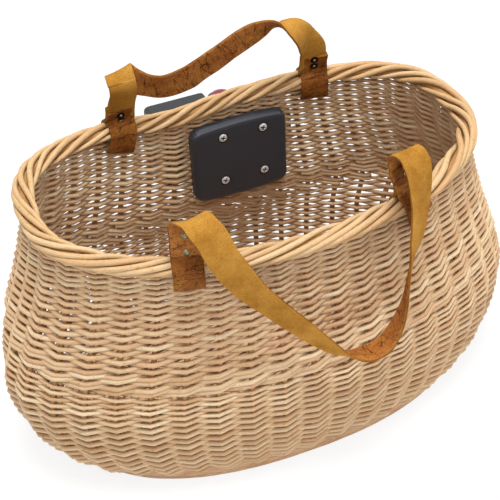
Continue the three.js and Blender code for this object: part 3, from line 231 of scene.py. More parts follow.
def new_object(name, data):
    """Object of a mesh, light or camera, placed in the scene."""
    obj = bpy.data.objects.new(name, data)
    bpy.context.scene.collection.objects.link(obj)
    return obj


def tube_mesh(name, rods, sides):
    """One mesh of many rods. A rod is (points, sideways reference, radii, (tone, offset))."""
    verts, faces, uvs, tones = [], [], [], []
    start = 0
    turn = np.arange(sides) * 2 * math.pi / sides
    for points, side_ref, radii, tone in rods:
        count = len(points)
        tangent = unit(np.gradient(points, axis=0))
        side = unit(side_ref - (side_ref * tangent).sum(1, keepdims=True) * tangent)
        other = np.cross(tangent, side)
        ring = (points[:, None]
                + (side[:, None] * np.cos(turn)[None, :, None]
                   + other[:, None] * np.sin(turn)[None, :, None]) * radii[:, None, None])
        verts.append(ring.reshape(-1, 3))
        verts.append(points[[0, -1]])
        first, last = start + count * sides, start + count * sides + 1
        rows = start + np.arange(count - 1)[:, None] * sides
        a = rows + np.arange(sides)
        b = rows + (np.arange(sides) + 1) % sides
        quads = np.stack([a, b, b + sides, a + sides], -1).reshape(-1, 4)
        faces.extend(quads.tolist())
        u = lengths(points) * MM + tone[1]
        v = np.arange(sides + 1) / sides
        u0, u1 = np.repeat(u[:-1], sides), np.repeat(u[1:], sides)
        v0, v1 = np.tile(v[:-1], count - 1), np.tile(v[1:], count - 1)
        uvs.append(np.stack([u0, v0, u0, v1, u1, v1, u1, v0], -1).reshape(-1, 2))
        for i in range(sides):
            j = (i + 1) % sides
            faces.append([first, start + j, start + i])
            end = start + (count - 1) * sides
            faces.append([last, end + i, end + j])
        caps = np.zeros((2 * sides * 3, 2))
        caps[:, 0] = u[0]
        uvs.append(caps)
        tones.append(np.full(count * sides + 2, tone[0]))
        start += count * sides + 2
    mesh = bpy.data.meshes.new(name)
    mesh.from_pydata((np.concatenate(verts) * MM).tolist(), [], faces)
    mesh.polygons.foreach_set("use_smooth", np.ones(len(mesh.polygons), bool))
    layer = mesh.uv_layers.new(name="along")
    layer.data.foreach_set("uv", np.concatenate(uvs).ravel().astype(np.float32))
    tone_layer = mesh.attributes.new("tone", "FLOAT", "POINT")
    tone_layer.data.foreach_set("value", np.concatenate(tones).astype(np.float32))
    mesh.update()
    return mesh


def rod_object(name, rods, sides=ROD_SIDES):
    return new_object(name, tube_mesh(name, rods, sides))


def shaded_mesh(name, verts, faces, slots):
    """Smooth mesh of points in millimetres, with a material's number for each face."""
    mesh = bpy.data.meshes.new(name)
    mesh.from_pydata((np.asarray(verts) * MM).tolist(), [], faces)
    mesh.polygons.foreach_set("use_smooth", np.ones(len(mesh.polygons), bool))
    mesh.polygons.foreach_set("material_index", np.array(slots, np.int32))
    mesh.update()
    return mesh


def rod_tone():
    """Colour place and length offset of one rod."""
    return rng.uniform(0, 1), rng.uniform(0, 9)


def wander(count, size, knots):
    """Slow seeded variation along a rod."""
    values = rng.normal(0, size, knots)
    return np.interp(np.linspace(0, knots - 1, count), np.arange(knots), values)


# Weave: in front of one stake and behind the next, a row higher for every two stakes

# How far rods swing from their middle line, and how far that lies inside the wall's
WEAVE_REACH = 4.4
WEAVE_INSET = 0.6
WEAVE_SHARPNESS = 0.999

# A rod's thickness follows the pitch of its rows, between two limits
RADIUS_PER_PITCH = 0.3
THINNEST_ROD = 1.2
WEAVE_RADIUS = 2.3

# The swing grows up to this level
FOOT_LEVEL = 25

# Points for each stake, knots and size of the variation in height, and sides of the rods
WEAVE_SAMPLES = 8
WEAVE_KNOTS = 12
ROW_WANDER = 0.25
WEAVE_SIDES = 7

# The rows rise towards the ends of the oval: how far, at which reach, and at which height most
END_RISE = 8.0
END_RISE_REACH = 215
END_RISE_HEIGHT = 122.0

# Row pitches up the wall, and the heights of the last lower and the first upper row
LOWER_PITCHES = [7.6, 7.8, 8.0, 8.1, 8.2, 8.2, 8.1, 7.9, 7.5, 7.0, 6.4, 6.0, 5.8, 5.7]
UPPER_PITCHES = [11.6, 8.9, 8.3, 8.3, 8.0, 7.9, 7.7, 7.5, 7.3, 6.9, 6.5, 6.2, 5.9, 5.6, 5.3,
                 5.1, 5.0]
LOWER_TOP = 117.5
UPPER_START = 127.3

# Stakes by which rods run past their first and last row, and the run and the spread of the pairs
LOWER_OVERRUN = (-2.5, 0.6)
UPPER_OVERRUN = (-1.25, 0.4)
PAIR_RUN = (-1.1, 3.2)
PAIR_SPREAD = 1.85


def swing(phase):
    """1 in front of a stake and -1 behind the next one, with a firm bend at each."""
    return np.arcsin(WEAVE_SHARPNESS * np.cos(math.pi * phase)) / math.asin(WEAVE_SHARPNESS)


def end_rise(level, angle):
    """Lift of the rows towards the ends of the oval, greatest at the belly."""
    x = wall_point(station_of_arc(level), angle)[:, 0]
    belly = arc_at(END_RISE_HEIGHT)
    below = np.clip(level / belly, 0, 1) ** 1.5
    above = np.clip((ARCS[-1] - level) / (ARCS[-1] - belly), 0, 1)
    return END_RISE * (x / END_RISE_REACH) ** 2 * np.where(level < belly, below, above)


def weave_rod(first_stake, rows, start, stop, shift):
    """A weaver from one count of stakes past its first stake to another.

    rows are arc lengths up the wall, and shift is the rod's lift at each count of stakes."""
    first, last = round(start * WEAVE_SAMPLES), round(stop * WEAVE_SAMPLES)
    passed = np.arange(first, last + 1) / WEAVE_SAMPLES
    count = len(passed)
    row = passed / 2
    level = np.interp(row, np.arange(len(rows)), rows)
    level = np.where(row < 0, rows[0] + row * (rows[1] - rows[0]), level)
    pitch = np.interp(row, np.arange(len(rows) - 1) + 0.5, np.diff(rows))
    angle = stake_angle(first_stake + passed)
    level = level + shift(passed) + end_rise(level, angle)
    station = station_of_arc(level + wander(count, ROW_WANDER, WEAVE_KNOTS))
    normal = wall_normal(station, angle)
    radii = np.clip(pitch * RADIUS_PER_PITCH, THINNEST_ROD, WEAVE_RADIUS)
    radii = radii * rng.uniform(0.93, 1.05) * (1 + wander(count, RADIUS_WANDER, WEAVE_KNOTS))
    reach = WEAVE_REACH * (0.6 + 0.4 * radii / WEAVE_RADIUS)
    reach = reach * (0.55 + 0.45 * np.clip(level / FOOT_LEVEL, 0, 1))
    points = wall_point(station, angle) + normal * (reach * swing(passed) - WEAVE_INSET)[:, None]
    return points, normal, radii, rod_tone()


def rows_up(first, pitches):
    return np.concatenate([[first], first + np.cumsum(pitches)])


def no_shift(passed):
    return 0.0


def above_pair(passed):
    """Lift over the paired rod, gone once the pair has ended."""
    return PAIR_SPREAD * np.clip((4.5 - passed) / 1.5, 0, 1)


def below_pair(passed):
    return -PAIR_SPREAD


def make_lower_weave():
    rows = rows_up(arc_at(LOWER_TOP) - sum(LOWER_PITCHES), LOWER_PITCHES)
    start, stop = LOWER_OVERRUN[0], 2 * len(LOWER_PITCHES) + LOWER_OVERRUN[1]
    rods = [weave_rod(stake, rows, start, stop, no_shift) for stake in range(STAKES)]
    return rod_object("lower_weavers", rods, WEAVE_SIDES)


def make_upper_weave():
    """The weavers up to the rim, and a short rod below each one's start."""
    rows = rows_up(arc_at(UPPER_START), UPPER_PITCHES)
    start, stop = UPPER_OVERRUN[0], 2 * len(UPPER_PITCHES) + UPPER_OVERRUN[1]
    rods, companions = [], []
    for stake in range(STAKES):
        rods.append(weave_rod(stake, rows, start, stop, above_pair))
        pair_start = PAIR_RUN[0] + rng.uniform(-0.2, 0.2)
        companions.append(weave_rod(stake, rows, pair_start, PAIR_RUN[1], below_pair))
    return (rod_object("upper_weavers", rods, WEAVE_SIDES),
            rod_object("transition_weavers", companions))


def make_stakes():
    rods = []
    for stake in range(STAKES):
        station = np.linspace(*STAKE_STATIONS, STAKE_SAMPLES)
        angle = np.full(STAKE_SAMPLES, stake_angle(stake)) + wander(STAKE_SAMPLES, 0.004, 5)
        normal = wall_normal(station, angle)
        along = np.cross(normal, unit(np.gradient(wall_point(station, angle), axis=0)))
        taper = np.linspace(1.06, 0.9, STAKE_SAMPLES)
        radii = STAKE_RADIUS * taper * rng.uniform(0.94, 1.05)
        rods.append((wall_point(station, angle), along, radii, rod_tone()))
    return rod_object("stakes", rods)


# Foot: rods that pass before two stakes and behind one

# Each lap: height, half length, front and rear reach and the rods' radius
FOOT_LAPS = [
    (3.5, 191.0, 107.5, 102.5, 3.4),
    (9.4, 196.0, 109.5, 105.0, 2.8),
    (14.2, 200.0, 111.0, 107.0, 2.2),
]
FOOT_STRANDS = 3
FOOT_OVERLAP = 0.8
FOOT_SAMPLES = 10
FOOT_KNOTS = 30

# A rod's place outside the lap's line, and how far it dives in behind a stake and slopes there
FOOT_OUTSIDE = 1.6
FOOT_DIVE = 5.2
FOOT_SLOPE = 1.2
QUARTER_TURN = np.array([[0, -1, 0], [1, 0, 0], [0, 0, 1.0]])


def make_foot():
    rods = []
    for lap, (height, *reaches, radius) in enumerate(FOOT_LAPS):
        for strand in range(FOOT_STRANDS):
            place = np.linspace(strand, strand + STAKES + FOOT_OVERLAP, STAKES * FOOT_SAMPLES)
            x, y = oval(stake_angle(place), *reaches, BASE_SQUARENESS, BASE_SQUARENESS)
            points = np.stack([x, y, np.full_like(x, height)], -1)
            outward = unit(np.gradient(points, axis=0)) @ QUARTER_TURN
            turn = 2 * math.pi * (place - strand) / FOOT_STRANDS
            inward = 0.5 - 0.5 * np.cos(turn)
            offset = FOOT_OUTSIDE - FOOT_DIVE * inward ** 3
            points = points + outward * offset[:, None]
            slope = FOOT_SLOPE * np.sin(turn) * (lap > 0)
            points[:, 2] += slope + wander(len(place), 0.1, FOOT_KNOTS)
            radii = radius * (1 - 0.3 * inward ** 2)
            radii = radii * (1 + wander(len(place), RADIUS_WANDER, FOOT_KNOTS))
            rods.append((points, outward, radii, rod_tone()))
    return rod_object("foot_rods", rods)


# Base: oval rounds woven over and under radial sticks

BASE_ROUNDS = 27
BASE_STICKS = 30
BASE_SAMPLES = 361
STICK_SAMPLES = 20
BASE_HEIGHT = 5.0
BASE_SWING = 2.3
BASE_SEAM_TURN = 0.3
BASE_ROD_RADIUS = 2.15
BASE_STICK_RADIUS = 2.2

# Half length, front and rear reach: the first and last round, and the ends of the sticks
ROUND_INNER, ROUND_OUTER = (96.0, 1.9, 1.9), (187.5, 104.0, 100.0)
STICK_INNER, STICK_OUTER = (96.0, 0.5, 0.5), (186.0, 102.0, 98.0)


def base_oval(angle, inner, outer, share):
    sizes = [mix(low, high, share) for low, high in zip(inner, outer)]
    return oval(angle, *sizes, BASE_SQUARENESS, BASE_SQUARENESS)


def make_base():
    rods = []
    for ring in range(BASE_ROUNDS):
        angle = np.linspace(0, 2 * math.pi, BASE_SAMPLES) + BASE_SEAM_TURN * ring
        x, y = base_oval(angle, ROUND_INNER, ROUND_OUTER, ring / (BASE_ROUNDS - 1))
        height = BASE_HEIGHT + BASE_SWING * np.cos(BASE_STICKS / 2 * angle + math.pi * ring)
        points = np.stack([x, y, height], -1)
        radii = np.full(BASE_SAMPLES, BASE_ROD_RADIUS) * rng.uniform(0.95, 1.05)
        rods.append((points, np.tile(UPWARD, (BASE_SAMPLES, 1)), radii, rod_tone()))
    for stick in range(BASE_STICKS):
        angle = np.full(STICK_SAMPLES, (stick + 0.5) * 2 * math.pi / BASE_STICKS)
        x, y = base_oval(angle, STICK_INNER, STICK_OUTER, np.linspace(0.0, 1.0, STICK_SAMPLES))
        points = np.stack([x, y, np.full(STICK_SAMPLES, BASE_HEIGHT)], -1)
        radii = np.full(STICK_SAMPLES, BASE_STICK_RADIUS)
        rods.append((points, np.tile(UPWARD, (STICK_SAMPLES, 1)), radii, rod_tone()))
    return rod_object("base_weave", rods, WEAVE_SIDES)


# Rim: each rod rises inside, crosses the top and runs down outside

RIM_ROD_RADIUS = 2.6
RIM_ROD_SAMPLES = 72
RIM_ROD_SIDES = 10

# The rods' distance from the rim's middle, and how far their ends dive in
RIM_ROD_CENTRE = 7.5
RIM_INNER_SPREAD = 1.28
RIM_DIVE = 2.1

# Stakes that a rod runs past inside and outside, and its turns round the rim in degrees
RIM_INSIDE_RUN = 2.4
RIM_OUTSIDE_RUN = 3.0
RIM_TOP_TURN = 88
RIM_INSIDE_TURN = 132
RIM_OUTSIDE_TURN = 120

RIM_CORE_RADIUS = 5.5
RIM_CORE_DROP = 0.8
RIM_CORE_SAMPLES = 361


def rim_frame(place):
    angle = stake_angle(place)
    step = 0.002
    ahead = unit(rim_point(angle + step) - rim_point(angle - step))
    outward = unit(np.cross(ahead, UPWARD))
    centre = rim_point(angle)
    centre[:, 2] -= rear_sag(centre[:, 0], centre[:, 1])
    return centre, outward, np.cross(outward, ahead)


def make_rim():
    rods = []
    for stake in range(STAKES):
        inside_run = RIM_INSIDE_RUN * rng.uniform(0.86, 1.08)
        outside_run = RIM_OUTSIDE_RUN * rng.uniform(0.86, 1.08)
        run = np.linspace(-inside_run, outside_run, RIM_ROD_SAMPLES)
        centre, outward, up = rim_frame(stake - run + rng.uniform(-0.08, 0.08))
        inside = np.clip(run / run[0], 0, 1)
        outside = np.clip(run / run[-1], 0, 1)
        turn = np.radians(RIM_TOP_TURN + RIM_INSIDE_TURN * inside ** 1.05
                          - RIM_OUTSIDE_TURN * outside ** 0.88 + rng.uniform(-7, 7))
        dive = RIM_DIVE * (inside ** 2.5 + outside ** 2.5)
        reach = RIM_ROD_CENTRE - dive + wander(RIM_ROD_SAMPLES, 0.3, 7)
        across = reach * np.cos(turn) * np.where(np.cos(turn) < 0, RIM_INNER_SPREAD, 1)
        points = centre + outward * across[:, None] + up * (reach * np.sin(turn))[:, None]
        taper = 1 - 0.45 * inside ** 3 - 0.35 * outside ** 3
        radii = RIM_ROD_RADIUS * rng.uniform(0.86, 1.1) * taper
        tone, offset = rod_tone()
        rods.append((points, outward, radii, (0.2 + 0.8 * tone, offset)))
    # The core takes tone 0, the darkest, which the rim rods keep clear of: a real core whose colour
    # is darkened as painted shade in the gaps between the rods.
    centre, outward, up = rim_frame(np.linspace(0, STAKES, RIM_CORE_SAMPLES))
    core_radii = np.full(RIM_CORE_SAMPLES, RIM_CORE_RADIUS)
    rods.append((centre - up * RIM_CORE_DROP, outward, core_radii, (0.0, 0.0)))
    return rod_object("rim_rods", rods, RIM_ROD_SIDES)


# Leather ribbons

PATH_STEPS = 40

# Suede half of a strap's outline: places across it and heights, as shares of width and thickness
RIBBON_OUTLINE = [(-0.5, 0.32), (-0.485, 0.44), (-0.44, 0.5), (-0.25, 0.5), (0.0, 0.5),
                  (0.25, 0.5), (0.44, 0.5), (0.485, 0.44), (0.5, 0.32)]


def smooth_path(knots, count):
    """Points, evenly spaced along a centripetal Catmull-Rom curve through knots of equal width."""
    knots = np.asarray(knots, float)
    ghost = np.vstack([2 * knots[0] - knots[1], knots, 2 * knots[-1] - knots[-2]])
    gap = np.sqrt(np.maximum(np.linalg.norm(np.diff(ghost[:, :3], axis=0), axis=1), 1e-6))
    out = []
    for i in range(1, len(ghost) - 2):
        t0, t1 = 0.0, gap[i - 1]
        t2, t3 = t1 + gap[i], t1 + gap[i] + gap[i + 1]
        t = np.linspace(t1, t2, PATH_STEPS, endpoint=False)[:, None]
        a1 = (t1 - t) / (t1 - t0) * ghost[i - 1] + (t - t0) / (t1 - t0) * ghost[i]
        a2 = (t2 - t) / (t2 - t1) * ghost[i] + (t - t1) / (t2 - t1) * ghost[i + 1]
        a3 = (t3 - t) / (t3 - t2) * ghost[i + 1] + (t - t2) / (t3 - t2) * ghost[i + 2]
        b1 = (t2 - t) / (t2 - t0) * a1 + (t - t0) / (t2 - t0) * a2
        b2 = (t3 - t) / (t3 - t1) * a2 + (t - t1) / (t3 - t1) * a3
        out.append((t2 - t) / (t2 - t1) * b1 + (t - t1) / (t2 - t1) * b2)
    dense = np.vstack(out + [knots[-1:]])
    arc = lengths(dense[:, :3])
    even = np.linspace(0, arc[-1], count)
    return np.stack([np.interp(even, arc, dense[:, k]) for k in range(dense.shape[1])], -1), even


def ribbon_mesh(name, centre, width_dir, arc):
    """Strap with rounded edges. Material 0 is the suede face, 1 the grain face and 2 the edges."""
    tangent = unit(np.gradient(centre, axis=0))
    across = unit(width_dir - (width_dir * tangent).sum(1, keepdims=True) * tangent)
    face = np.cross(tangent, across)
    profile = RIBBON_OUTLINE + [(c, -h) for c, h in RIBBON_OUTLINE[::-1]]
    count, sides = len(centre), len(profile)
    edge_noise = [wander(count, 0.25, max(4, count // 6)) for _ in range(2)]
    verts = []
    for c, h in profile:
        wave = edge_noise[0 if c < 0 else 1] * abs(c) * 2 * np.sign(c)
        verts.append(centre + across * (c * STRAP_WIDTH + wave)[:, None]
                     + face * (h * STRAP_THICKNESS))
    faces, uvs, slots = [], [], []
    across_u = [c * STRAP_WIDTH * MM for c, _ in profile]
    last_side = sides // 2 - 1
    for i in range(count - 1):
        u0, u1 = arc[i] * MM, arc[i + 1] * MM
        for k in range(sides):
            j = (k + 1) % sides
            faces.append([i * sides + k, i * sides + j, (i + 1) * sides + j, (i + 1) * sides + k])
            uvs += [(u0, across_u[k]), (u0, across_u[j]), (u1, across_u[j]), (u1, across_u[k])]
            slots.append(2 if k in (last_side, sides - 1) else int(k > last_side))
    faces.append(list(range(sides))[::-1])
    faces.append([(count - 1) * sides + k for k in range(sides)])
    uvs += [(0.0, 0.0)] * (2 * sides)
    slots += [2, 2]
    mesh = shaded_mesh(name, np.stack(verts, 1).reshape(-1, 3), faces, slots)
    mesh.polygons.foreach_set("use_smooth", np.array([len(f) == 4 for f in faces]))
    layer = mesh.uv_layers.new(name="along")
    layer.data.foreach_set("uv", np.array(uvs, np.float32).ravel())
    mesh.update()
    return mesh


# Each row is a centre point and the direction of the strap's width, in millimetres
FRONT_PATH = [
    (-99, -99.5, 266, 0.96, -0.28, 0), (-99, -99.5, 288, 0.96, -0.28, 0),
    (-98.6, -100, 300, 0.97, -0.15, 0.05), (-93.2, -109.6, 307.5, 0.97, 0.15, 0.16),
    (-90.5, -118.1, 305.5, 0.91, 0.21, 0.35), (-86.6, -124.3, 299.5, 0.89, 0.15, 0.42),
    (-80.6, -130.3, 282, 0.92, 0.02, 0.4), (-72, -131.7, 264, 0.88, -0.12, 0.45),
    (-57.1, -132.7, 237.9, 0.75, -0.41, 0.52), (-39.1, -134.8, 214.1, 0.64, -0.51, 0.58),
    (-20.4, -139.1, 191.2, 0.53, -0.61, 0.59), (-1.1, -145.3, 169.4, 0.36, -0.72, 0.6),
    (12.9, -150.4, 156.7, 0.13, -0.79, 0.6), (31.4, -153.4, 151, -0.04, -0.96, 0.28),
    (50.5, -153.1, 154.9, -0.03, -0.95, 0.3), (64.4, -148.9, 167.9, -0.13, -0.92, 0.38),
    (73.7, -143.9, 184.6, -0.32, -0.87, 0.38), (78.9, -139.1, 203, -0.45, -0.85, 0.27),
    (83.2, -135.8, 222.6, -0.56, -0.79, 0.27), (88.9, -132.2, 242.5, -0.76, -0.58, 0.3),
    (92.8, -127.8, 262.4, -0.83, -0.5, 0.25), (95.5, -122.3, 282.4, -0.91, -0.34, 0.23),
    (95.3, -119.5, 295.2, -0.95, -0.2, 0.18), (94.3, -116, 305.1, -0.98, -0.05, 0.2),
    (92.1, -111.5, 310.8, -0.99, 0, 0.15), (88.8, -107, 312.8, -0.99, -0.13, 0.1),
    (87, -102.5, 310.3, -0.97, -0.23, 0.1), (88.1, -100, 302.3, -0.97, -0.26, 0),
    (89.6, -99.3, 292.4, -0.96, -0.28, 0), (94.6, -99.5, 278.2, -0.96, -0.28, 0),
    (98.5, -99.5, 265.2, -0.96, -0.28, 0),
]
REAR_PATH = [
    (-85.6, 110.4, 263.3, 1, 0, 0), (-84.3, 105, 283.6, 1, 0, 0),
    (-82.4, 100.5, 296.1, 0.98, 0.1, -0.1), (-82.6, 100, 302.6, 0.99, 0.1, -0.06),
    (-82.8, 102, 308, 1, 0.02, 0), (-83, 106.5, 312, 0.98, -0.17, 0.11),
    (-82, 111.4, 312.1, 0.93, -0.22, 0.29), (-80.7, 115.9, 309.1, 0.86, -0.13, 0.5),
    (-77.4, 117.9, 304.2, 0.76, -0.03, 0.65), (-73.2, 117.4, 299.7, 0.62, -0.04, 0.78),
    (-68.2, 114.8, 296.7, 0.38, -0.12, 0.92), (-57.3, 107.9, 292.7, 0.08, -0.2, 0.98),
    (-44.9, 101.3, 292.1, -0.15, -0.15, 0.98), (-25.4, 96.7, 297.3, -0.36, -0.09, 0.93),
    (-6.4, 95.4, 305.8, -0.43, -0.13, 0.89), (12.5, 94.9, 314.8, -0.43, -0.13, 0.89),
    (31.6, 95.5, 323.4, -0.35, -0.16, 0.92), (44.9, 95.6, 327.5, -0.21, -0.29, 0.93),
    (58.4, 95.3, 329.5, -0.03, -0.61, 0.79), (65, 94.7, 329, -0.05, -0.85, 0.52),
    (71.1, 93.3, 327.3, -0.19, -0.97, 0.13), (77, 91.8, 324.6, -0.33, -0.92, -0.2),
    (82.1, 91.2, 321.1, -0.4, -0.77, -0.49), (90.3, 93.9, 312, -0.6, -0.48, -0.64),
    (96.4, 98.9, 301.8, -0.76, -0.35, -0.55), (102.6, 101.6, 290.8, -0.97, -0.04, -0.25),
    (103.5, 102.6, 284.4, -1, 0.01, 0), (103.5, 108.1, 264.2, -1, 0, 0),
]

# Points along the straps, along each end piece of the rear one, and where its pieces overlap
FRONT_SAMPLES = 220
REAR_SAMPLES = 240
REAR_END_SAMPLES = 34
REAR_OVERLAP = 2


def make_front_strap():
    path, arc = smooth_path(FRONT_PATH, FRONT_SAMPLES)
    return new_object("front_strap", ribbon_mesh("front_strap", path[:, :3], path[:, 3:], arc))


def make_rear_straps():
    """The strap in three pieces: two ends and a middle that swings as one."""
    path, arc = smooth_path(REAR_PATH, REAR_SAMPLES)
    centre, width_dir = path[:, :3], path[:, 3:]
    middle_stop = REAR_SAMPLES - REAR_END_SAMPLES
    pieces = []
    for name, part in (("rear_strap_left", slice(0, REAR_END_SAMPLES + REAR_OVERLAP)),
                       ("rear_strap_middle", slice(REAR_END_SAMPLES, middle_stop)),
                       ("rear_strap_right", slice(middle_stop - REAR_OVERLAP, REAR_SAMPLES))):
        mesh = ribbon_mesh(name, centre[part], width_dir[part], arc[part])
        pieces.append(new_object(name, mesh))
    return pieces


# Strap ends round the rim, with their rivets

RIM_SEARCH_SAMPLES = 4001
LOOP_SAMPLES = 110

# A loop's slack, the radius of the rim inside it, where its layers meet and where its sway starts
LOOP_CLEARANCE = 0.15
LOOP_BORE = 9.6
LOOP_NECK = 18.0
LOOP_SHOULDER = 8
REAR_LEAN = math.radians(15)

# Each loop: name, place along the rim, side, lean, outer and inner top and drop from the rim's
# middle, drift, sway and rivet heights
LOOPS = [
    ("front_left", -99, -1, 0.0, 46.0, 46.0, 15.0, 0.0, 0.0, (19.0, 36.0)),
    ("front_right", 99, -1, 0.0, 46.0, 46.0, 15.0, -9.0, 10.0, (19.0, 36.0)),
    ("rear_left", -87.0, 1, REAR_LEAN, 31.0, 25.5, 20.0, 5.0, 0.0, (13.0, 20.0)),
    ("rear_right", 106, 1, REAR_LEAN, 31.0, 31.0, 16.0, 0.0, 0.0, (20.0, 28.0)),
]

# Outlines of a rivet's head: radii and heights over the leather
RIVET_DOME = [(0.0, 1.9), (1.2, 1.8), (2.3, 1.4), (3.0, 0.9),
              (3.4, 0.3), (3.5, 0.0), (3.2, -0.5), (0.0, -0.5)]
RIVET_EYELET = [(0.0, 1.5), (0.9, 1.3), (1.5, 0.7), (1.7, 0.2),
                (2.4, 0.3), (3.1, 0.5), (3.7, 0.4), (3.9, -0.4)]
RIVET_SEAT = 0.3


def rim_place_at(x, side):
    """Rim centre and the outward and along directions at x on the front (-1) or rear (1)."""
    points = rim_point(np.linspace(0, math.pi, RIM_SEARCH_SAMPLES) * side)
    i = int(np.argmin(np.abs(points[:, 0] - x)))
    ahead = points[min(i + 1, RIM_SEARCH_SAMPLES - 1)] - points[i - 1]
    ahead = unit(np.array([ahead[0], ahead[1], 0.0])) * side
    outward = np.array([ahead[1], -ahead[0], 0.0])
    return points[i], outward, ahead


def sway_share(height, top):
    return np.clip((height - LOOP_SHOULDER) / (top - LOOP_SHOULDER), 0, 1) ** 1.5


def loop_outline(lean, top, inner_top, drop):
    """(outward, up) points of a strap end round the rim, from its outer top to its inner top."""
    half = STRAP_THICKNESS / 2 + LOOP_CLEARANCE
    bore = LOOP_BORE + half
    s, c = math.sin(lean), math.cos(lean)

    def tip(offset, up):
        return -s * up + c * offset, c * up + s * offset

    def on_bore(degrees):
        turn = math.radians(degrees) + lean * min(degrees, 180 - degrees) / 90
        return bore * math.cos(turn), bore * math.sin(turn)

    under = [(bore - 0.3, -0.4 * drop), (bore - 1.8, 1.5 - drop), (bore - 5.0, -1.0 - drop)]
    outline = [tip(half, top), tip(half, top * 0.75), tip(half, LOOP_NECK)]
    outline += [on_bore(degrees) for degrees in range(62, -1, -12)]
    outline += under + [(0.0, -STRAP_THICKNESS / 2 - drop)] + [(-o, u) for o, u in under[::-1]]
    outline += [on_bore(degrees) for degrees in range(180, 117, -12)]
    outline += [tip(-half, 0.6 * inner_top), tip(-half, 0.8 * inner_top), tip(-half, inner_top)]
    return np.array(outline)


def make_loop(name, x, side, lean, top, inner_top, drop, drift, sway):
    """Strap end round the rim. drift and sway shift its lowest and highest part to the left."""
    centre, outward, along = rim_place_at(x, side)
    outline = loop_outline(lean, top, inner_top, drop)
    below = LOOP_SHOULDER + drop
    low = np.clip((LOOP_SHOULDER - outline[:, 1]) / below, 0, 1)
    right = along * np.sign(along[0])
    aside = drift * low ** 2 + sway * sway_share(outline[:, 1], top)
    points = (centre + outward * outline[:, :1] - right * aside[:, None]
              + UPWARD * outline[:, 1:])
    path, arc = smooth_path(points, LOOP_SAMPLES)
    up = path[:, 2] - centre[2]
    above = top - LOOP_SHOULDER
    tilt = (2 * drift / below * np.clip((LOOP_SHOULDER - up) / below, 0, 1)
            - 1.5 * sway / above * np.sqrt(np.clip((up - LOOP_SHOULDER) / above, 0, 1)))
    width_dir = along - UPWARD * (tilt * np.sign(along[0]))[:, None]
    return new_object(name, ribbon_mesh(name, path, width_dir, arc))


def make_rivet(name, x, side, lean, height):
    """Domed heads on both sides; the inner ones at the rear are hollow: a bright middle in a ring
    of painted shade.
    """
    centre, outward, along = rim_place_at(x, side)
    axis = outward * math.cos(lean) + np.array([0, 0, math.sin(lean)])
    up = -outward * math.sin(lean) + np.array([0, 0, math.cos(lean)])
    middle = centre + up * height
    verts, faces, dark = [], [], []
    steps = 20
    for end in (1, -1):
        hollow = side > 0 and end < 0
        profile = RIVET_EYELET if hollow else RIVET_DOME
        first = len(verts)
        for r, h in profile:
            for k in range(steps):
                a = 2 * math.pi * k / steps
                verts.append(middle + axis * end * (STRAP_THICKNESS + RIVET_SEAT + h)
                             + along * r * math.cos(a) + up * r * math.sin(a))
        for i in range(len(profile) - 1):
            inner, outer = first + i * steps, first + (i + 1) * steps
            for k in range(steps):
                j = (k + 1) % steps
                quad = [inner + k, outer + k, outer + j, inner + j]
                faces.append(quad if end * side > 0 else quad[::-1])
                # The ring round the middle of a rear inner eyelet is painted shade, standing for
                # the shade in its hollow.
                dark.append(1 if hollow and i > 1 else 0)
    return new_object(name, shaded_mesh(name, verts, faces, dark))


# Plate screws and springs

SCREW_RADIUS = 4.0
SCREW_SHANK = 2.0
SCREW_RINGS = 26
SCREW_STEPS = 64
SCREW_TURN = 0.4
HEAD_DOME = 0.9
HEAD_HEIGHT = 2.4
HEAD_EDGE = 0.1

# Cross recess: half width and reach of an arm, the run of its slopes and its depth
CROSS_HALF_WIDTH = 0.75
CROSS_REACH = 2.6
CROSS_SIDE_SLOPE = 0.25
CROSS_END_SLOPE = 0.5
CROSS_DEPTH = 1.1

SPRING_RADIUS = 2.1
SPRING_WIRE = 0.4
SPRING_TURNS = 6
SPRING_STEPS = 24


def make_screw(name, x, z, face, tip):
    """Pan head with a cross recess in painted shade, seen from the front, and its shank towards the
    rear.
    """
    steps = SCREW_STEPS
    turn = np.arange(steps) * 2 * math.pi / steps
    radii = np.linspace(0.05, SCREW_RADIUS, SCREW_RINGS)[:, None]
    a, b = np.abs(radii * np.cos(turn + SCREW_TURN)), np.abs(radii * np.sin(turn + SCREW_TURN))
    recess = (np.clip((CROSS_HALF_WIDTH - np.minimum(a, b)) / CROSS_SIDE_SLOPE, 0, 1)
              * np.clip((CROSS_REACH - np.maximum(a, b)) / CROSS_END_SLOPE, 0, 1))
    depth = HEAD_DOME * (radii / SCREW_RADIUS) ** 3 + CROSS_DEPTH * recess
    head = [x + radii * np.cos(turn), face + depth, z + radii * np.sin(turn)]
    verts = np.stack(head, -1).reshape(-1, 3)
    circle = np.stack([np.cos(turn), np.zeros(steps), np.sin(turn)], -1)
    body = ((SCREW_RADIUS, face + HEAD_HEIGHT), (SCREW_SHANK, face + HEAD_HEIGHT + HEAD_EDGE),
            (SCREW_SHANK, tip), (0.02, tip))
    for radius, y in body:
        verts = np.vstack([verts, np.array([x, y, z]) + circle * radius])
    faces, dark = [], []
    for i in range(SCREW_RINGS + len(body) - 1):
        for k in range(steps):
            j = (k + 1) % steps
            faces.append([i * steps + k, i * steps + j, (i + 1) * steps + j, (i + 1) * steps + k])
            # Faces deep in the cross recess take the painted shade material.
            dark.append(1 if i < SCREW_RINGS and recess[i, k] > 0.6 else 0)
    return new_object(name, shaded_mesh(name, verts, faces, dark))


def make_coil(name, middle, low, high):
    """Upright spring between two heights."""
    turn = np.linspace(0, 2 * math.pi * SPRING_TURNS, SPRING_STEPS * SPRING_TURNS + 1)
    out = np.stack([np.cos(turn), np.sin(turn), 0 * turn], -1)
    points = middle + out * SPRING_RADIUS
    points[:, 2] = np.linspace(low + SPRING_WIRE, high - SPRING_WIRE, len(turn))
    wire = (points, out, np.full(len(turn), SPRING_WIRE), (0, 0))
    return rod_object(name, [wire])


# Materials

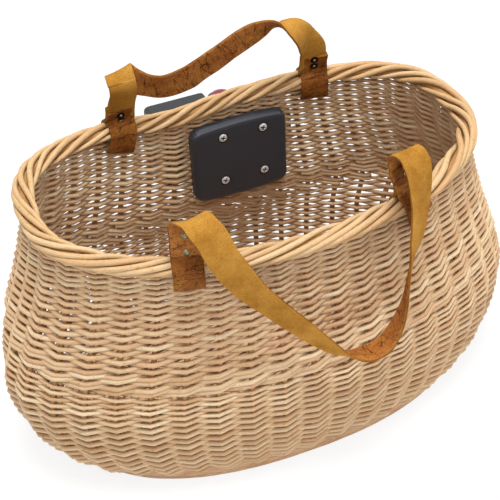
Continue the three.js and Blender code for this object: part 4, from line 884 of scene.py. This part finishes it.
def new_material(name, color, roughness, metallic=0.0):
    material = bpy.data.materials.new(name)
    material.use_nodes = True
    shader = material.node_tree.nodes["Principled BSDF"]
    shader.inputs["Base Color"].default_value = (*color, 1)
    shader.inputs["Roughness"].default_value = roughness
    shader.inputs["Metallic"].default_value = metallic
    return material, material.node_tree, shader


def srgb(text):
    """Linear colour of a hexadecimal sRGB colour."""
    values = [int(text[i:i + 2], 16) / 255 for i in (0, 2, 4)]
    return tuple(v / 12.92 if v <= 0.04045 else ((v + 0.055) / 1.055) ** 2.4 for v in values)


def add(tree, kind, **values):
    node = tree.nodes.new(kind)
    for key, value in values.items():
        if key in node.inputs:
            node.inputs[key].default_value = value
        else:
            setattr(node, key, value)
    return node


def ramp(tree, factor, stops):
    node = add(tree, "ShaderNodeValToRGB")
    elements = node.color_ramp.elements
    while len(elements) < len(stops):
        elements.new(0.5)
    for element, (position, color) in zip(elements, stops):
        element.position = position
        element.color = (*color, 1)
    tree.links.new(factor, node.inputs["Fac"])
    return node.outputs["Color"]


def multiply(tree, a, b, share=1.0):
    """Colour a darkened by colour b."""
    node = add(tree, "ShaderNodeMix", data_type="RGBA", blend_type="MULTIPLY")
    node.inputs[0].default_value = share
    tree.links.new(a, node.inputs[6])
    tree.links.new(b, node.inputs[7])
    return node.outputs[2]


def bump(tree, shader, height, strength, distance):
    node = add(tree, "ShaderNodeBump", Strength=strength, Distance=distance)
    tree.links.new(height, node.inputs["Height"])
    tree.links.new(node.outputs["Normal"], shader.inputs["Normal"])


def noise(tree, vector, **values):
    """Factor of a noise texture over a vector."""
    node = add(tree, "ShaderNodeTexNoise", **values)
    tree.links.new(vector, node.inputs["Vector"])
    return node.outputs["Fac"]


def object_place(tree):
    return add(tree, "ShaderNodeTexCoord").outputs["Object"]


def place_along(tree, scale):
    """Length along a rod or strap and place round it, scaled."""
    place = add(tree, "ShaderNodeUVMap", uv_map="along")
    mapping = add(tree, "ShaderNodeMapping", Scale=scale)
    tree.links.new(place.outputs["UV"], mapping.inputs["Vector"])
    return mapping.outputs["Vector"]


def hexes(text):
    return [srgb(word) for word in text.split()]


WHITE = (1, 1, 1)
STREAK_TINT = (0.75, 0.75 * 0.97, 0.75 * 0.92)
SPECK_TINT = (0.72, 0.6, 0.48)
NAP_TINT = (0.68, 0.62, 0.55)
FOLD_TINT = (0.26, 0.19, 0.14)


def willow(name, tones):
    """Peeled willow: a tone for each rod, streaks along it and small brown specks."""
    material, tree, shader = new_material(name, tones[0], 0.62)
    tone = add(tree, "ShaderNodeAttribute", attribute_name="tone")
    last = len(tones) - 1
    base = ramp(tree, tone.outputs["Fac"], [(i / last, color) for i, color in enumerate(tones)])
    fibre = noise(tree, place_along(tree, (22, 5, 1)), Scale=4.0, Detail=4.0, Roughness=0.6)
    streaks = ramp(tree, fibre, [(0.3, STREAK_TINT), (0.65, WHITE)])
    specks = noise(tree, object_place(tree), Scale=330.0, Detail=2.0)
    spots = ramp(tree, specks, [(0.3, SPECK_TINT), (0.4, WHITE)])
    color = multiply(tree, multiply(tree, base, streaks), spots, 0.6)
    tree.links.new(color, shader.inputs["Base Color"])
    bump(tree, shader, fibre, 0.25, 0.0004)
    shader.inputs["Specular IOR Level"].default_value = 0.35
    return material


def thin_line(tint, reach):
    """Ramp stops for a line of that tint along the middle value of a noise."""
    return [(0.5 - reach, WHITE), (0.496, tint), (0.504, tint), (0.5 + reach, WHITE)]


def leather(name, color, dark, light, nap_scale, creases, roughness):
    """Nap and specks on the suede side, a net of dark creases on the grain side."""
    material, tree, shader = new_material(name, color, roughness)
    place = object_place(tree)

    def field(scale, detail, distortion=0.0):
        return noise(tree, place, Scale=scale, Detail=detail, Roughness=0.62, Distortion=distortion)

    mixed = ramp(tree, field(38.0, 5.0), [(0.32, dark), (0.52, color), (0.72, light)])
    height = field(nap_scale, 3.0)
    mixed = multiply(tree, mixed, ramp(tree, height, [(0.36, NAP_TINT), (0.5, WHITE)]))
    if creases:
        for scale, depth in ((60.0, 0.5), (150.0, 0.55)):
            line = thin_line((depth, depth * 0.85, depth * 0.7), 0.025)
            mixed = multiply(tree, mixed, ramp(tree, field(scale, 4.0, 0.8), line), 0.75)
        folds = noise(tree, place_along(tree, (95, 20, 1)), Scale=1.0, Detail=3.0, Distortion=0.4)
        mixed = multiply(tree, mixed, ramp(tree, folds, thin_line(FOLD_TINT, 0.016)), 0.85)
        height = field(160.0, 5.0, 0.6)
    tree.links.new(mixed, shader.inputs["Base Color"])
    bump(tree, shader, height, 0.45, 0.0008)
    shader.inputs["Specular IOR Level"].default_value = 0.12 if creases else 0.08
    return material


def plastic(name, color, roughness, texture=0.15):
    """Plastic with a fine moulded grain."""
    material, tree, shader = new_material(name, color, roughness)
    grain = noise(tree, object_place(tree), Scale=1500.0, Detail=2.0)
    dark, light = (tuple(part * share for part in color) for share in (0.9, 1.1))
    shade = ramp(tree, grain, [(0.3, dark), (0.7, light)])
    tree.links.new(shade, shader.inputs["Base Color"])
    bump(tree, shader, grain, texture, 0.0002)
    return material


def metal(name, color, roughness, worn, metallic=1.0):
    """Metal with worn patches, which are rougher too."""
    material, tree, shader = new_material(name, color, roughness, metallic)
    cloud = noise(tree, object_place(tree), Scale=420.0, Detail=4.0)
    tint = ramp(tree, cloud, [(0.35, worn), (0.6, color)])
    tree.links.new(tint, shader.inputs["Base Color"])
    rough = ramp(tree, cloud, [(0.3, (roughness + 0.15,) * 3), (0.7, (roughness,) * 3)])
    tree.links.new(rough, shader.inputs["Roughness"])
    return material


WICKER = willow("willow_body", hexes("C69E74 DEC29C D0AA82 E6CEAA CAA27A DCBE98 D4B088 E0C8A2"))
# The first, darkest colour goes to the rim core alone, partly as painted shade between the rim
# rods.
WICKER_RIM = willow("willow_rim", hexes("B08450 C8A070 D4B284 D0AC7C C69A68 DABA8E CCA474"))
WICKER_STAKE = willow("willow_stake", hexes("A8794C B88A5A C0946A B58455"))
WICKER_FOOT = willow("willow_foot", hexes("C79B76 D4AA83 D9B48C CFA17C"))
SUEDE = leather("leather_suede", *hexes("B07E34 9A6926 C08E42"), 1100.0, False, 0.95)
GRAIN = leather("leather_grain", *hexes("AE7036 925726 BE8344"), 700.0, True, 0.7)
TAIL = leather("leather_tail", *hexes("8C5422 6C3D14 A06C2E"), 700.0, True, 0.75)
EDGE = leather("leather_edge", *hexes("8A5A22 6A4216 A0702E"), 900.0, False, 0.9)
BRASS = metal("rivet_brass", srgb("9A9272"), 0.36, srgb("6E6848"))
# Painted shade: near-black metal for the rings of the rear eyelets and the cross recesses of the
# screws.
PAINTED_SHADE_METAL = metal("painted_shade_metal", srgb("2C241E"), 0.6, srgb("1B1612"))
ZINC = metal("screw_zinc", srgb("EAEAE8"), 0.35, srgb("C4C4C0"), 0.4)
DARK_PLASTIC = plastic("plastic_dark", srgb("2F323A"), 0.42)
GREY_PLASTIC = plastic("plastic_grey", srgb("232528"), 0.5)
RED_PLASTIC = plastic("plastic_red", srgb("7A1834"), 0.3, 0.05)


def finish_flexing(obj, materials):
    """Materials of a piece that a blend moves."""
    for material in materials:
        obj.data.materials.append(material)


def finish_piece(obj, materials, body):
    """Materials and body of a piece that rides on one body."""
    finish_flexing(obj, materials)
    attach(obj, body)


# Woven shell pieces
lower = make_lower_weave()
upper, pairs = make_upper_weave()
stakes = make_stakes()
foot = make_foot()
base = make_base()
rim = make_rim()
for piece in (lower, upper, pairs):
    finish_piece(piece, [WICKER], "basket")
finish_piece(stakes, [WICKER_STAKE], "basket")
finish_piece(foot, [WICKER_FOOT], "basket")
finish_piece(base, [WICKER_FOOT], "basket")
finish_piece(rim, [WICKER_RIM], "basket")
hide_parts("lower_wall")
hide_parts("upper_wall")
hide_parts("transition_wale")
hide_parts("foot_wale")
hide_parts("woven_base")
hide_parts("rim_border")

# Leather pieces and rivets
LEATHER = [SUEDE, GRAIN, EDGE]
TURNED_LEATHER = [GRAIN, SUEDE, EDGE]
LOOP_LEATHER = [TAIL, SUEDE, EDGE]
front_strap = make_front_strap()
finish_flexing(front_strap, LEATHER)
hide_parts("front_handle")
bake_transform(front_strap)
left_end, middle, right_end = make_rear_straps()
finish_piece(middle, TURNED_LEATHER, "rear_handle_body")
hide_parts("rear_handle")
for end_piece in (left_end, right_end):
    finish_flexing(end_piece, TURNED_LEATHER)
    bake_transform(end_piece)
for name, x, side, lean, top, inner_top, drop, drift, sway, rivets in LOOPS:
    loop = make_loop(name + "_loop_leather", x, side, lean, top, inner_top, drop, drift, sway)
    finish_piece(loop, LOOP_LEATHER, "basket")
    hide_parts(name + "_loop")
    for level, height in zip(("low", "high"), rivets):
        place = x - sway * sway_share(height, top)
        rivet = make_rivet(f"{name}_rivet_head_{level}", place, side, lean, height)
        finish_piece(rivet, [BRASS, PAINTED_SHADE_METAL], "basket")
        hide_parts(f"{name}_rivet_{level}")

# Springs under the button: coils the height of the CAD springs
for name in ("button_spring_left", "button_spring_right"):
    low, high = (np.array(corner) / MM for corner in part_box(name))
    middle = (low + high) / 2
    coil = make_coil(name + "_coil", middle, low[2], high[2])
    finish_piece(coil, [ZINC], "basket")
    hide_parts(name)
    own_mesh(coil)

# Plate screws
for name in [n for n in nodes if n.startswith("plate_screw")]:
    corners = np.array([nodes[name].matrix_world @ Vector(c) for c in nodes[name].bound_box]) / MM
    middle, low, high = corners.mean(0), corners.min(0), corners.max(0)
    screw = make_screw(name + "_cross_head", middle[0], middle[2], low[1], high[1])
    # The second material paints shade into the cross recess.
    finish_piece(screw, [ZINC, PAINTED_SHADE_METAL], "basket")
    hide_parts(name)

# Mount: the CAD solids stay and get their materials
MOUNT_FINISHES = [
    (("inner_plate", "outer_bracket", "latch", "lock_barrel"), DARK_PLASTIC),
    (("adapter_housing", "clamp_cap"), GREY_PLASTIC),
    (("release_button",), RED_PLASTIC),
    (("bracket_nut", "clamp_bolt"), ZINC),
]
for name, obj in nodes.items():
    for starts, finish in MOUNT_FINISHES:
        if name.startswith(starts):
            obj.data.materials.clear()
            obj.data.materials.append(finish)

# Floor, world, lights and camera, in metres

FLOOR_HALF_WIDTH = 6.0
FLOOR_GLOW = 1.02
FLOOR_GLOW_SHARE = 0.82
WORLD_SEEN = 1.0
WORLD_LIGHT = 0.55

# Oval under the basket where its shadow shows, with its middle a little to the back
SHADOW_HALF_LENGTH = 0.192
SHADOW_HALF_DEPTH = 0.145
SHADOW_BACK = 0.035

# Each light: name, place, point that it faces, size and watts
LIGHTS = [
    ("key", (-0.9, -2.4, 3.4), (0, 0, 0.15), 1.5, 28),
    ("fill", (2.8, -1.9, 2.1), (0, 0, 0.15), 2.6, 20),
    ("top", (0.0, -0.3, 4.0), (0, 0, 0.1), 1.6, 150),
]


def seen_directly(tree):
    """1 for camera, glossy and transmission rays."""
    path = add(tree, "ShaderNodeLightPath")
    seen = path.outputs["Is Camera Ray"]
    for ray in ("Is Glossy Ray", "Is Transmission Ray"):
        either = add(tree, "ShaderNodeMath", operation="MAXIMUM")
        tree.links.new(seen, either.inputs[0])
        tree.links.new(path.outputs[ray], either.inputs[1])
        seen = either.outputs[0]
    return seen


def make_floor():
    """White floor that shows shadows under the basket and glows elsewhere where it is seen."""
    mesh = bpy.data.meshes.new("floor")
    edge = FLOOR_HALF_WIDTH
    corners = [(-edge, -edge, 0), (edge, -edge, 0), (edge, edge, 0), (-edge, edge, 0)]
    mesh.from_pydata(corners, [], [(0, 1, 2, 3)])
    floor = new_object("floor", mesh)
    material, tree, shader = new_material("floor_white", (0.9, 0.9, 0.9), 0.9)
    glow = add(tree, "ShaderNodeEmission", Color=(1, 1, 1, 1), Strength=FLOOR_GLOW)
    share = add(tree, "ShaderNodeMath", operation="MULTIPLY")
    tree.links.new(seen_directly(tree), share.inputs[0])
    spread = add(tree, "ShaderNodeVectorMath", operation="MULTIPLY_ADD")
    spread.inputs[1].default_value = (1 / SHADOW_HALF_LENGTH, 1 / SHADOW_HALF_DEPTH, 0)
    spread.inputs[2].default_value = (0, -SHADOW_BACK / SHADOW_HALF_DEPTH, 0)
    tree.links.new(object_place(tree), spread.inputs[0])
    distance = add(tree, "ShaderNodeVectorMath", operation="LENGTH")
    tree.links.new(spread.outputs[0], distance.inputs[0])
    stops = [(0.9, (0, 0, 0)), (1.0, (FLOOR_GLOW_SHARE,) * 3)]
    open_floor = ramp(tree, distance.outputs["Value"], stops)
    tree.links.new(open_floor, share.inputs[1])
    blend = add(tree, "ShaderNodeMixShader")
    tree.links.new(share.outputs[0], blend.inputs[0])
    tree.links.new(shader.outputs[0], blend.inputs[1])
    tree.links.new(glow.outputs[0], blend.inputs[2])
    tree.links.new(blend.outputs[0], tree.nodes["Material Output"].inputs["Surface"])
    mesh.materials.append(material)


def make_world():
    """White background that lights the basket less than it shows."""
    world = bpy.data.worlds.new("studio")
    bpy.context.scene.world = world
    world.use_nodes = True
    tree = world.node_tree
    background = tree.nodes["Background"]
    strength = add(tree, "ShaderNodeMapRange")
    strength.inputs["To Min"].default_value = WORLD_LIGHT
    strength.inputs["To Max"].default_value = WORLD_SEEN
    tree.links.new(seen_directly(tree), strength.inputs["Value"])
    tree.links.new(strength.outputs["Result"], background.inputs["Strength"])
    background.inputs["Color"].default_value = (1, 1, 1, 1)


def area_light(name, place, target, size, watts):
    data = bpy.data.lights.new(name, "AREA")
    data.shape = "SQUARE"
    data.size = size
    data.energy = watts
    light = new_object(name, data)
    light.location = place
    light.rotation_mode = "QUATERNION"
    light.rotation_quaternion = (Vector(target) - Vector(place)).to_track_quat("-Z", "Y")


def make_camera():
    azimuth, elevation = math.radians(CAMERA_AZIMUTH), math.radians(CAMERA_ELEVATION)
    roll = math.radians(CAMERA_ROLL)
    level = math.cos(elevation)
    back = Vector((math.sin(azimuth) * level, -math.cos(azimuth) * level, math.sin(elevation)))
    right = Vector((math.cos(azimuth), math.sin(azimuth), 0))
    up = back.cross(right)
    turned_right = right * math.cos(roll) + up * math.sin(roll)
    turned_up = -right * math.sin(roll) + up * math.cos(roll)
    data = bpy.data.cameras.new("camera")
    data.lens = CAMERA_LENS
    data.sensor_width = SENSOR_WIDTH
    data.clip_end = CAMERA_CLIP_END
    camera = new_object("camera", data)
    rotation = Matrix((turned_right, turned_up, back)).transposed().to_4x4()
    camera.matrix_world = Matrix.Translation(Vector(CAMERA_PLACE) * MM) @ rotation
    bpy.context.scene.camera = camera


make_floor()
make_world()
for light in LIGHTS:
    area_light(*light)
make_camera()
bpy.context.scene.view_settings.view_transform = "Standard"
